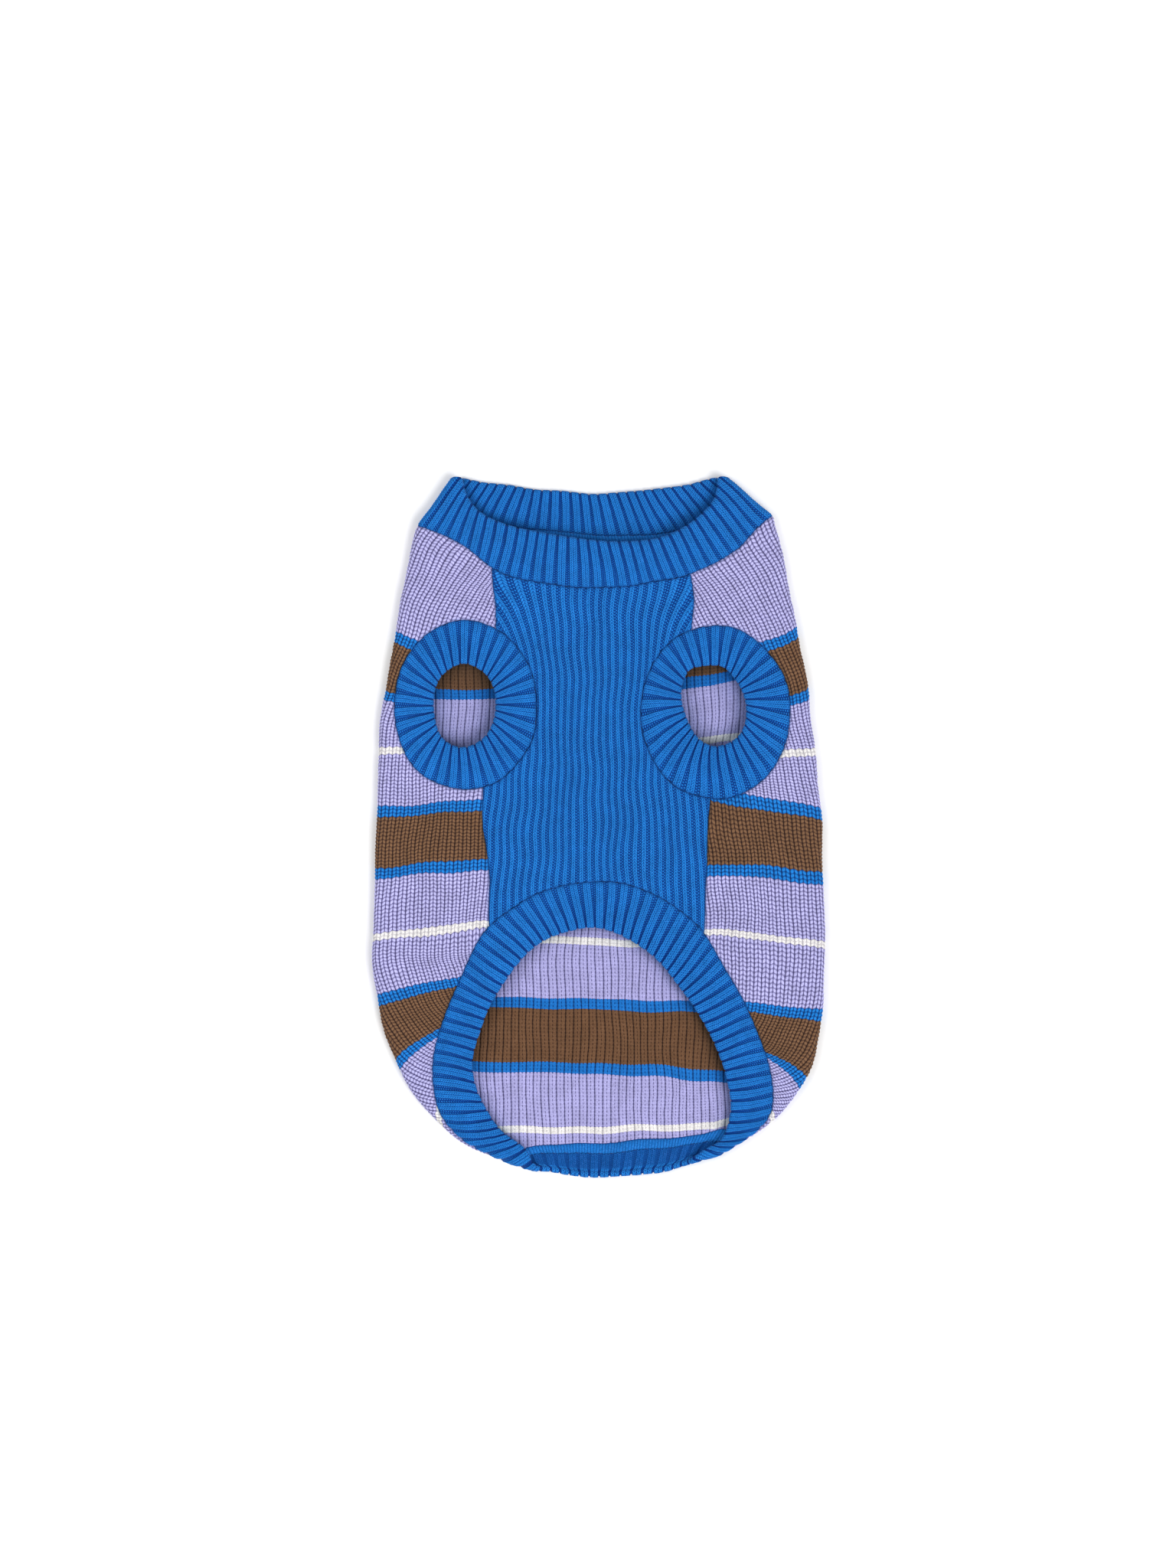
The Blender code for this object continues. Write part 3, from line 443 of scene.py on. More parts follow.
class FoldedCloth:
    """The sweater's cloth, folded flat round its left, right and tail edges.

    REACH is how many points from each end give the way in which the edge runs on there.
    """

    REACH = 3

    def __init__(self, outline: Sequence[Point], sizes: ClothSizes) -> None:
        """Set out the folded edge, run on straight past the neck at both ends.

        Args:
            outline: points of the folded edge, anticlockwise from the left of the neck.
            sizes: the cloth's sizes.
        """
        self.sizes = sizes
        self.line = smooth_line(outline, sizes.outline_step)
        past = np.arange(sizes.past_neck, 0.0, -sizes.outline_step)[:, None]
        ways = self.line[0] - self.line[self.REACH], self.line[-1] - self.line[-1 - self.REACH]
        start_way, end_way = (way / np.linalg.norm(way) for way in ways)
        start, end = self.line[0] + past * start_way, self.line[-1] + past[::-1] * end_way
        self.edge = Polyline(np.vstack([start, self.line, end]))

    def nearest(self, places: Array) -> tuple[Array, Array, Array]:
        """Find the folded edge from places of the plan or of the unfolded plane.

        Args:
            places: places in either plane.

        Returns:
            The nearest point of the edge, the way out there, and the distance, inside negative.
        """
        foot, segment = self.edge.nearest(places)
        step = self.edge.ahead[segment]
        out = unit(np.stack([step[:, 1], -step[:, 0]], axis=1))
        away = places - foot
        side = np.where((away * out).sum(1) < 0, -1.0, 1.0)
        length = np.linalg.norm(away, axis=1)
        apart = length > self.sizes.near_edge
        out[apart] = away[apart] * (side[apart] / length[apart])[:, None]
        return foot, out, side * length

    def far(self, places: Array) -> Array:
        """Distance of places from the folded edge, inside negative."""
        return self.nearest(places)[2]

    def crown_at(self, depth: Array) -> Array:
        """Rise of the belly side above the folds, at a depth inside the edge."""
        radius = self.sizes.fold_radius
        return self.sizes.crown * smooth_step((depth - radius) / (self.sizes.crown_reach - radius))

    def unfold(self, places: Array, layer: Layer) -> Array:
        """Lay places of the folded sweater out in the unfolded plane.

        Args:
            places: places in plan.
            layer: the layer that they lie on.

        Returns:
            Their places in the unfolded plane.
        """
        places = np.asarray(places, float).reshape(-1, 2)
        if layer is BACK:
            return places
        radius = self.sizes.fold_radius
        foot, out, far = self.nearest(places)
        if layer is FOLD:
            return foot + out * self.sizes.fold_middle
        depth = np.maximum(-far, 0.0)
        angle = np.arccos(np.clip(1.0 - depth / radius, -1.0, 1.0))
        in_fold = radius * (angle + math.pi / 2 - 1.0)
        laid = np.where(depth < radius, in_fold, self.sizes.fold_end + depth - radius)
        return foot + out * laid[:, None]

    def fold(self, places: Array, inward: Array) -> Array:
        """Bend the unfolded plane round the edge.

        Args:
            places: places in the unfolded plane.
            inward: how far each point lies inside the cloth's outer face.

        Returns:
            Points in space.
        """
        radius_out, fold_end = self.sizes.fold_radius, self.sizes.fold_end
        inward = np.broadcast_to(inward, len(places))
        foot, out, far = self.nearest(places)
        angle = np.clip((far + radius_out) / radius_out, 0.0, math.pi) - math.pi / 2
        radius = radius_out - inward
        depth = radius_out - radius * np.cos(angle) + np.maximum(far - fold_end, 0.0)
        height = radius_out + radius * np.sin(angle)
        height = height + np.where(far > fold_end, self.crown_at(depth), 0.0)
        plan = np.where((far > -radius_out)[:, None], foot - out * depth[:, None], places)
        return np.column_stack([plan, height])

    def lay_on_belly(self, places: Array, inward: Array) -> Array:
        """Lift places in plan on to the belly side.

        Args:
            places: places in plan.
            inward: how far each point lies inside the belly side's outer face.

        Returns:
            Points in space.
        """
        inward = np.broadcast_to(inward, len(places))
        far = self.far(places)
        height = 2 * self.sizes.fold_radius + self.crown_at(-far) - inward
        laid = np.column_stack([places, height])
        near = far > -self.sizes.flat_depth
        if near.any():
            laid[near] = self.fold(self.unfold(places[near], BELLY), inward[near])
        return laid


CLOTH = FoldedCloth(OUTLINE, SIZES)


class Unevenness:
    """A smooth waviness over a surface, the same each time, mostly between -1 and 1."""

    WAVES = 14

    def __init__(self, seed: int, shortest: float, longest: float) -> None:
        """Choose the waves.

        Args:
            seed: which waviness this is.
            shortest: the shortest wavelength.
            longest: the longest wavelength.
        """
        chosen = np.random.default_rng(seed)
        turn = FULL_TURN / chosen.uniform(shortest, longest, self.WAVES)
        way = chosen.uniform(0.0, FULL_TURN, self.WAVES)
        self.turns = np.stack([turn * np.cos(way), turn * np.sin(way)])
        self.start = chosen.uniform(0.0, FULL_TURN, self.WAVES)

    def at(self, places: Array) -> Array:
        """The waviness at places in a plane."""
        return np.sin(places @ self.turns + self.start).sum(1) / math.sqrt(self.WAVES)


class Handmade:
    """A small smooth warp of the whole sweater, so that no seam or rib runs quite true."""

    LONG, SHORT, LIFT = 0.45, 0.05, 0.25
    LONG_WAVES, SHORT_WAVES = (22.0, 70.0), (3.2, 7.0)

    def __init__(self) -> None:
        """Choose the warp's waves."""
        self.long = [Unevenness(seed, *self.LONG_WAVES) for seed in (11, 12, 13)]
        self.short = [Unevenness(seed, *self.SHORT_WAVES) for seed in (14, 15)]

    def warp(self, points: Array) -> Array:
        """Move points by the warp, which leaves the underside flat.

        Args:
            points: points in space.

        Returns:
            The moved points.
        """
        plan = points[:, :2]
        waves = zip(self.long, self.short)
        aside = [self.LONG * long.at(plan) + self.SHORT * short.at(plan) for long, short in waves]
        above = smooth_step(points[:, 2] / (2.0 * SIZES.fold_radius))
        warped = points + np.column_stack([*aside, self.LIFT * self.long[2].at(plan) * above])
        warped[:, 2] = np.maximum(warped[:, 2], 0.0)
        return warped


HANDMADE = Handmade()


@dataclass(frozen=True)
class Knit:
    """How one knit stands out of its cloth.

    Attributes:
        wales: stitch columns on each rib.
        share: part of a rib's width that they take up, at the seam.
        free_share: the same at the free edge.
        rib_rise: how far a rib's crest stands over its valley.
        leg_rise: how far a stitch's leg stands over the rib.
        slant: how many courses a leg's foot lies below its top.
        notch: how deep a stitch's middle lies, as a share of its legs' height.
        groove: the same between two stitches side by side.
        waist: how much of its height a leg keeps between two courses.
        floor: whether the valleys are wide enough to have a flat floor.
        bridge: how far a stitch fills the notch and groove halfway up its course.
        detail: columns of points across a stitch.

    WALL is the part of a valley that its sides take up, and LEG_AT where a leg lies in its stitch.
    """

    wales: int
    share: float
    free_share: float
    rib_rise: float
    leg_rise: float
    slant: float
    notch: float = 0.7
    groove: float = 1.0
    waist: float = 0.25
    floor: bool = False
    bridge: float = 0.0
    detail: int = 4

    WALL, SHOULDER, LEG_AT = 0.4, 0.2, 0.25

    def columns(self, share: float) -> Array:
        """Places across one rib that catch its valley, its stitches' legs and their middles.

        Args:
            share: part of the rib's width that the stitches take up.

        Returns:
            Places from -0.5, the valley's middle, to less than 0.5.
        """
        count = self.detail * self.wales
        parts = (np.arange(count + 1) / count - 0.5) * share
        if share == 1.0:
            return parts[:-1]
        if not self.floor:
            return np.concatenate([[-0.5], parts])
        foot = (share + self.WALL * (1.0 - share)) / 2.0
        return np.concatenate([[-0.5, -foot], parts, [foot]])

    def across_stitch(self, rib: Array, share: float) -> tuple[Array, Array]:
        """Find a place across its rib and its stitch.

        Args:
            rib: rib numbers, whole on a crest.
            share: part of the rib's width that the stitches take up.

        Returns:
            Distance from the rib's middle, up to 0.5, and from the stitch's middle, up to 0.5.
        """
        across = rib - np.floor(rib + 0.5)
        wale = np.clip((across / share + 0.5) * self.wales, 0.0, self.wales)
        within = wale - np.minimum(np.floor(wale), self.wales - 1) - 0.5
        return np.abs(across), np.abs(within)

    def lag(self, rib: Array, share: float) -> Array:
        """How many courses the stitch line lags behind, away from a stitch's middle."""
        return 2.0 * self.slant * self.across_stitch(rib, share)[1]

    def crest(self, rib: Array, share: float) -> Array:
        """Height of the rib alone.

        Args:
            rib: rib numbers.
            share: part of the rib's width that the stitches take up.

        Returns:
            Heights from 0 in a valley to 1 on a crest.
        """
        across = 2.0 * np.abs(rib - np.floor(rib + 0.5))
        beyond = np.clip((across - share) / max(1.0 - share, TINY), 0.0, 1.0)
        top = 1.0 - self.SHOULDER * np.minimum(across / share, 1.0) ** 4
        return top * (1.0 - smooth_step(beyond / self.WALL))

    def rise(self, rib: Array, course: Array, share: float) -> Array:
        """Height of the knit over its valley.

        Args:
            rib: rib numbers.
            course: course numbers.
            share: part of the rib's width that the stitches take up.

        Returns:
            Heights in millimetres.
        """
        across, within = self.across_stitch(rib, share)
        off_leg = (within / self.LEG_AT - 1.0) ** 2
        bulge = 0.5 - 0.5 * np.cos(FULL_TURN * (course + 2.0 * self.slant * within))
        depth = np.where(within < self.LEG_AT, self.notch, self.groove)
        leg = 1.0 - off_leg * depth * (1.0 - self.bridge * bulge)
        leg = leg * (2.0 * across <= share) * (self.waist + (1.0 - self.waist) * bulge)
        return self.rib_rise * self.crest(rib, share) + self.leg_rise * leg


class BellyChart:
    """Rib and course numbers of the belly panel, over its plan."""

    MIDDLE = -0.9
    HEIGHTS = (-30.0, 57.4, 121.0)
    PITCHES = (3.76, 3.24, 3.96)
    FAN_BELOW, FAN_ABOVE, FAN_MOST, FAN_RIBS = 80.0, 121.0, 0.26, 11.0
    BOW, BOW_HALF_WIDTH, BOW_BELOW, BOW_REACH = 4.0, 50.0, 60.0, 60.0
    SWAY, DRIFT, COURSE = 0.35, 0.4, 1.3

    def __init__(self) -> None:
        """Choose how unevenly the ribs and courses run."""
        self.sway = Unevenness(seed=3, shortest=18.0, longest=60.0)
        self.drift = Unevenness(seed=4, shortest=14.0, longest=50.0)

    def rib(self, places: Array) -> Array:
        """Number the ribs.

        Args:
            places: places in plan.

        Returns:
            The rib number of each.
        """
        pitch = np.interp(places[:, 1], self.HEIGHTS, self.PITCHES)
        plain = (places[:, 0] - self.MIDDLE + self.SWAY * self.sway.at(places)) / pitch
        height = (places[:, 1] - self.FAN_BELOW) / (self.FAN_ABOVE - self.FAN_BELOW)
        return plain / (1.0 + self.FAN_MOST * smooth_step(height) * (plain / self.FAN_RIBS) ** 2)

    def course(self, places: Array) -> Array:
        """Number the courses.

        Args:
            places: places in plan.

        Returns:
            The course number of each.
        """
        height = (places[:, 1] - self.BOW_BELOW) / self.BOW_REACH
        bow = self.BOW * (places[:, 0] / self.BOW_HALF_WIDTH) ** 2 * smooth_step(height)
        return (places[:, 1] - bow + self.DRIFT * self.drift.at(places)) / self.COURSE


class BackChart:
    """Rib and course numbers of the back panel, over the unfolded plane."""

    PITCH, SWAY, DRIFT = 3.6, 0.4, 0.2
    DRAWN_MOST, DRAWN_WIDTH, DRAWN_BELOW, DRAWN_ABOVE = 6.0, 45.0, 80.0, 140.0

    def __init__(self) -> None:
        """Choose how unevenly the ribs and courses run."""
        self.sway = Unevenness(seed=5, shortest=25.0, longest=80.0)
        self.drift = Unevenness(seed=6, shortest=20.0, longest=60.0)

    def rib(self, places: Array) -> Array:
        """Number the ribs.

        Args:
            places: places in the unfolded plane.

        Returns:
            The rib number of each.
        """
        height = (places[:, 1] - self.DRAWN_BELOW) / (self.DRAWN_ABOVE - self.DRAWN_BELOW)
        drawn = self.DRAWN_MOST * smooth_step(height) * smooth_step(CLOTH.far(places) / self.DRAWN_WIDTH)
        shift = self.SWAY * self.sway.at(places) - np.sign(places[:, 0]) * drawn
        return (places[:, 0] + shift) / self.PITCH

    def course(self, places: Array) -> Array:
        """Number the courses.

        Args:
            places: places in the unfolded plane.

        Returns:
            The course number of each.
        """
        heights = np.array([line[1:] for line in COURSE_LINES])
        lines = np.array([np.interp(places[:, 0], COURSE_PLACES, row) for row in heights])
        y = places[:, 1] + self.DRIFT * self.drift.at(places)
        course = np.full(len(places), float(COURSE_LINES[0].course))
        for below, above, low, high in zip(COURSE_LINES, COURSE_LINES[1:], lines, lines[1:]):
            course += (above.course - below.course) * np.clip((y - low) / (high - low), 0.0, 1.0)
        pitch = (lines[-1] - lines[-2]) / (COURSE_LINES[-1].course - COURSE_LINES[-2].course)
        return course + np.maximum(y - lines[-1], 0.0) / pitch


Chart = Union[BellyChart, BackChart]


@dataclass(frozen=True)
class Lattice:
    """Points in plan that follow a chart's ribs and courses.

    Attributes:
        chart: the rib and course numbers.
        knit: the knit, whose stitches the points catch.
        per_course: rows of points to a course.
        fine: whether each stitch has its own points, or only each rib's crest and groove.

    ROW_STEP and COLUMN_STEP are how far apart the chart is read.
    """

    chart: Chart
    knit: Knit
    per_course: float = 2.0
    fine: bool = True

    ROW_STEP, COLUMN_STEP = 3.0, 0.5

    def points(self, low: Array, high: Array) -> Array:
        """Lay out the points of a rectangle.

        Args:
            low: its lowest corner.
            high: its highest corner.

        Returns:
            Points in plan.
        """
        heights = np.arange(low[1], high[1] + self.ROW_STEP, self.ROW_STEP)
        across = np.arange(low[0], high[0] + self.COLUMN_STEP, self.COLUMN_STEP)
        grid = np.stack(np.meshgrid(across, heights), axis=2).reshape(-1, 2)
        ribs = np.maximum.accumulate(self.chart.rib(grid).reshape(len(heights), -1), axis=1)
        share = self.knit.share
        parts = self.knit.columns(share) if self.fine else np.array([-0.5, 0.0])
        whole = np.arange(math.floor(ribs.min()), math.ceil(ribs.max()) + 1)
        numbers = (whole[:, None] + parts[None]).ravel()
        x = np.array([np.interp(numbers, row, across, left=np.nan, right=np.nan) for row in ribs])
        places = np.stack([x, np.broadcast_to(heights[:, None], x.shape)], axis=2)
        courses = self.chart.course(np.nan_to_num(places).reshape(-1, 2)).reshape(x.shape)
        lag = self.knit.lag(numbers, share) if self.fine else np.zeros(len(numbers))
        found = []
        for at in range(len(numbers)):
            kept = ~np.isnan(x[:, at])
            if kept.sum() < 2:
                continue
            known = np.maximum.accumulate(courses[kept, at])
            first = math.ceil((known[0] + lag[at]) * self.per_course)
            last = math.floor((known[-1] + lag[at]) * self.per_course)
            wanted = np.arange(first, last + 1) / self.per_course - lag[at]
            y = np.interp(wanted, known, heights[kept])
            found.append(np.column_stack([np.interp(y, heights[kept], x[kept, at]), y]))
        return np.vstack(found)


def inside(places: Array, loop: Array) -> Array:
    """Which places lie within a closed outline.

    Args:
        places: places in plan.
        loop: the outline's points.

    Returns:
        True for each place inside.
    """
    chunk = 20000
    start, end = loop, np.roll(loop, -1, axis=0)
    rise = np.where(end[:, 1] == start[:, 1], TINY, end[:, 1] - start[:, 1])
    slope = (end[:, 0] - start[:, 0]) / rise
    found = []
    for first in range(0, len(places), chunk):
        x, y = places[first : first + chunk].T[:, :, None]
        spans = (start[:, 1] > y) != (end[:, 1] > y)
        crossed = spans & (x < start[:, 0] + (y - start[:, 1]) * slope)
        found.append(crossed.sum(1) % 2 == 1)
    return np.concatenate(found) if found else np.zeros(0, bool)


def shrink(loop: Array, distance: float) -> Array:
    """Move a closed outline inwards.

    Args:
        loop: the outline, anticlockwise.
        distance: how far to move it.

    Returns:
        The moved outline.
    """
    least_lean = 0.5
    before = unit(loop - np.roll(loop, 1, axis=0))
    after = unit(np.roll(loop, -1, axis=0) - loop)
    inward = np.stack([-before[:, 1] - after[:, 1], before[:, 0] + after[:, 0]], axis=1)
    inward /= np.maximum(np.linalg.norm(inward, axis=1), TINY)[:, None]
    lean = inward[:, 0] * -after[:, 1] + inward[:, 1] * after[:, 0]
    return loop + inward * (distance / np.maximum(lean, least_lean))[:, None]


def loop_area(loop: Array) -> float:
    """Area of a closed outline, positive where it runs anticlockwise."""
    after = np.roll(loop, -1, axis=0)
    return float((loop[:, 0] * after[:, 1] - loop[:, 1] * after[:, 0]).sum() / 2.0)


def join(*lines: Array) -> Array:
    """One closed outline, anticlockwise, from lines that follow each other."""
    loop = np.vstack([line[:-1] for line in lines])
    return loop if loop_area(loop) > 0 else loop[::-1]


@dataclass(frozen=True)
class Filled:
    """An outline filled with triangles.

    Attributes:
        places: all its points in plan.
        faces: its triangles, anticlockwise.
        ring: the numbers of the outline's own points.
        numbers: the rib and course number of each point.
    """

    places: Array
    faces: Array
    ring: list[int]
    numbers: Array


def fill(loop: Array, points: Array, margin: float, chart: Chart) -> Filled:
    """Fill an outline with triangles.

    Args:
        loop: the outline, anticlockwise.
        points: points to use where they lie within it.
        margin: how far from the outline a point has to be.
        chart: the rib and course numbers.

    Returns:
        The filled outline.
    """
    points = points[inside(points, loop)]
    points = points[Polyline(loop, closed=True).distance(points) > margin]
    count, all_triangles, least_gap = len(loop), 0, 1e-6
    corners = [Vector(place) for place in np.vstack([loop, points]).tolist()]
    lines = [(at, (at + 1) % count) for at in range(count)]
    made = delaunay_2d_cdt(corners, lines, [], all_triangles, least_gap, True)
    places, faces = np.array([tuple(place) for place in made[0]]), np.array(made[2])
    number = {old: new for new, olds in enumerate(made[3]) for old in olds}
    ring = [number[at] for at in range(count)]
    on_ring = np.zeros(len(places), bool)
    on_ring[ring] = True
    unsure = on_ring[faces].all(1)
    kept = np.ones(len(faces), bool)
    kept[unsure] = inside(places[faces[unsure]].mean(1), loop)
    return Filled(places, faces[kept], ring, np.column_stack([chart.rib(places), chart.course(places)]))


@dataclass(frozen=True)
class Shell:
    """One face of a cloth: its filled outline, its points in space and its painted shade."""

    filled: Filled
    points: Array
    shade: Array


@dataclass
class Cloth:
    """A cloth's mesh, ready to be made.

    Attributes:
        points: its points in millimetres.
        faces: its faces, as lists of point numbers.
        maps: the knit map at each corner of each face, in order.
        shade: how much painted shade each point gets, from 0 to 1, darkest deep in a seam or pocket.
        of_face: the number of each face's material.
    """

    points: Array
    faces: list
    maps: Array
    shade: Array
    of_face: Array


def add_object(name: str, data: bpy.types.ID) -> bpy.types.Object:
    """A new object of the scene."""
    thing = bpy.data.objects.new(name, data)
    bpy.context.scene.collection.objects.link(thing)
    return thing


def make_object(name: str, cloth: Cloth, finishes: Sequence[bpy.types.Material]) -> bpy.types.Object:
    """Make a smooth mesh object in metres, with its faces turned outwards.

    Args:
        name: the object's name.
        cloth: its mesh.
        finishes: its materials.

    Returns:
        The object.
    """
    points, faces, maps = HANDMADE.warp(cloth.points), cloth.faces, cloth.maps
    fans = np.array([(face[0], face[at], face[at + 1]) for face in faces for at in range(1, len(face) - 1)])
    first, second, third = (points[fans[:, k]] for k in range(3))
    if (first * np.cross(second, third)).sum() < 0:
        ends = np.cumsum([len(face) for face in faces])
        order = [np.arange(end - 1, end - len(face) - 1, -1) for face, end in zip(faces, ends)]
        faces, maps = [face[::-1] for face in faces], maps[np.concatenate(order)]
    data = bpy.data.meshes.new(name)
    data.from_pydata((points * MM).tolist(), [], faces)
    layer = data.uv_layers.new(name=KNIT_MAP)
    layer.data.foreach_set("uv", maps.astype(np.float32).ravel())
    # Painted shade at each point, which darkens the materials' colour.
    shade = data.attributes.new(SHADE_MAP, "FLOAT", "POINT")
    shade.data.foreach_set("value", cloth.shade.astype(np.float32))
    for finish in finishes:
        data.materials.append(finish)
    data.polygons.foreach_set("material_index", cloth.of_face.astype(np.int32))
    data.polygons.foreach_set("use_smooth", np.ones(len(faces), bool))
    data.update()
    return add_object(name, data)


def close_shells(outer: Shell, inner: Shell) -> Cloth:
    """Close two faces of a cloth, which share their outline.

    Args:
        outer: the outer face, which gets the first material.
        inner: the inner face, which gets the second.

    Returns:
        The cloth.
    """
    above, below, shift = outer.filled, inner.filled, len(outer.points)
    turned, count = below.faces[:, ::-1], len(above.ring)
    faces = above.faces.tolist() + (turned + shift).tolist()
    maps = [above.numbers[above.faces].reshape(-1, 2), below.numbers[turned].reshape(-1, 2)]
    for at in range(count):
        here, there = above.ring[at], above.ring[(at + 1) % count]
        under, beside = below.ring[at] + shift, below.ring[(at + 1) % count] + shift
        faces.append([there, here, under, beside])
        maps.append(above.numbers[[there, here, here, there]])
    of_face = np.repeat([0, 1, 0], [len(above.faces), len(turned), count])
    points, shade = np.vstack([outer.points, inner.points]), np.concatenate([outer.shade, inner.shade])
    return Cloth(points, faces, np.vstack(maps), shade, of_face)


class Row(NamedTuple):
    """One closed row of points round a band.

    The knit map has one entry more than there are points, so that the rib numbers don't jump.
    """

    points: Array
    knit_map: Array
    shade: Array


def close_rows(rows: Sequence[Row]) -> Cloth:
    """Close a tube of cloth from closed rows, the last of which joins the first.

    Args:
        rows: the rows, all with as many points.

    Returns:
        The cloth.
    """
    around, count = len(rows[0].points), len(rows)
    here_at, ahead = np.arange(around), (np.arange(around) + 1) % around
    faces, corners = [], []
    for row in range(count):
        after = (row + 1) % count
        low, high = row * around, after * around
        faces += np.stack([low + here_at, low + ahead, high + ahead, high + here_at], axis=1).tolist()
        here, there = rows[row].knit_map, rows[after].knit_map
        corners.append(np.stack([here[:-1], here[1:], there[1:], there[:-1]], axis=1).reshape(-1, 2))
    points = np.vstack([row.points for row in rows])
    shade = np.concatenate([row.shade for row in rows])
    return Cloth(points, faces, np.vstack(corners), shade, np.zeros(len(faces), int))


class SeamPath(NamedTuple):
    """Places along a closed seam: in plan, unfolded, and whether they lie flat on the belly side."""

    plan: Array
    flat: Array
    lies: Array


class ClosedSeam:
    """A closed line over the folded sweater.

    Between two stations on the belly side it is a smooth curve in plan. Elsewhere it crosses the
    fold, so it is a smooth curve in the unfolded plane.
    """

    def __init__(self, stations: Sequence[SeamStation]) -> None:
        """Store the stations in both planes.

        Args:
            stations: the seam's stations, the last of which leads to the first.
        """
        self.count = len(stations)
        self.plan = np.array([(row.x, row.y) for row in stations])
        self.flat = np.vstack([CLOTH.unfold([[row.x, row.y]], row.layer) for row in stations])
        self.lying = np.array([row.layer is BELLY for row in stations])

    def path(self, at: Array) -> SeamPath:
        """Read the seam.

        Args:
            at: places counted in its stations.

        Returns:
            The places in both planes.
        """
        plan, flat = curve_at(self.plan, at, closed=True), curve_at(self.flat, at, closed=True)
        first = np.floor(at).astype(int)
        lies = self.lying[first % self.count] & self.lying[(first + 1) % self.count]
        if lies.any():
            flat[lies] = CLOTH.unfold(plan[lies], BELLY)
        return SeamPath(plan, flat, lies)

    def part(self, first: int, last: int, unfolded: bool) -> Array:
        """Even points between two stations.

        Args:
            first: the station to start from.
            last: the station to end at, later round the seam.
            unfolded: whether the points are in the unfolded plane, or else in plan.

        Returns:
            The points.
        """
        span = (last - first) % self.count
        at = first + np.linspace(0.0, span, READS_EACH * span + 1)
        path = self.path(at)
        along = lengths_along(path.flat if unfolded else path.plan)
        pieces = round(along[-1] / SIZES.edge_step)
        path = self.path(np.interp(np.linspace(0.0, along[-1], pieces + 1), along, at))
        return path.flat if unfolded else path.plan


NECK_SEAM = ClosedSeam(NECK)
HEM_SEAM = ClosedSeam([SeamStation(row.seam_x, row.seam_y, row.seam_layer) for row in HEM])
HEM_FREE = ClosedSeam([SeamStation(row.free_x, row.free_y, row.free_layer) for row in HEM])


def oval_arc(oval: Oval, start: Point, end: Point) -> Array:
    """The part of an ellipse between two points near it.

    Args:
        oval: the ellipse.
        start: where the part starts.
        end: where it ends, going anticlockwise.

    Returns:
        Even points along it.
    """
    first = math.atan2((start.y - oval.y) / oval.half_y, (start.x - oval.x) / oval.half_x)
    last = math.atan2((end.y - oval.y) / oval.half_y, (end.x - oval.x) / oval.half_x)
    if last <= first:
        last += FULL_TURN
    size = (oval.half_x + oval.half_y) / 2
    angles = np.linspace(first, last, round((last - first) * size / SIZES.edge_step) + 1)
    return np.column_stack([oval.x + oval.half_x * np.cos(angles), oval.y + oval.half_y * np.sin(angles)])


def seam_ends(oval: Oval, above: Sequence[Point], below: Sequence[Point]) -> tuple[Point, Point]:
    """Where the seams above and below a leg hole meet it.

    Args:
        oval: the ellipse of the leg hole.
        above: the seam above it, downwards.
        below: the seam below it, downwards.

    Returns:
        The upper place and the lower one.
    """

    def reach(x: float) -> float:
        """Height of the ellipse over its middle at a place across it."""
        return math.sqrt(max(0.0, 1.0 - ((x - oval.x) / oval.half_x) ** 2)) * oval.half_y

    top, low = above[-1].x, below[0].x
    return Point(top, oval.y + reach(top)), Point(low, oval.y - reach(low))


LEFT_TOP, LEFT_LOW = seam_ends(LEFT_LEG.seam, SEAM_LEFT_ABOVE, SEAM_LEFT_BELOW)
RIGHT_TOP, RIGHT_LOW = seam_ends(RIGHT_LEG.seam, SEAM_RIGHT_ABOVE, SEAM_RIGHT_BELOW)


class Wire:
    """A value that varies over the surface. Sums, products and comparisons of wires are new nodes."""

    def __init__(self, sheet: "Sheet", socket: Socket) -> None:
        """Stand for a socket that gives a value."""
        self.sheet, self.socket = sheet, socket

    def __add__(self, other: "Value") -> "Wire":
        """Add a number."""
        return self.sheet.math("ADD", self, other)

    def __sub__(self, other: "Value") -> "Wire":
        """Take a number away."""
        return self.sheet.math("SUBTRACT", self, other)

    def __rsub__(self, other: float) -> "Wire":
        """Take this away from a number."""
        return self.sheet.math("SUBTRACT", other, self)

    def __mul__(self, other: "Value") -> "Wire":
        """Multiply by a number."""
        return self.sheet.math("MULTIPLY", self, other)

    def __truediv__(self, other: "Value") -> "Wire":
        """Divide by a number."""
        return self.sheet.math("DIVIDE", self, other)

    def __lt__(self, other: "Value") -> "Wire":
        """1 where this is less, and 0 elsewhere."""
        return self.sheet.math("LESS_THAN", self, other)

    def __gt__(self, other: "Value") -> "Wire":
        """1 where this is more, and 0 elsewhere."""
        return self.sheet.math("GREATER_THAN", self, other)


Value = Union[float, Wire, Socket]
Tint = Union[Colour, Wire, Socket]


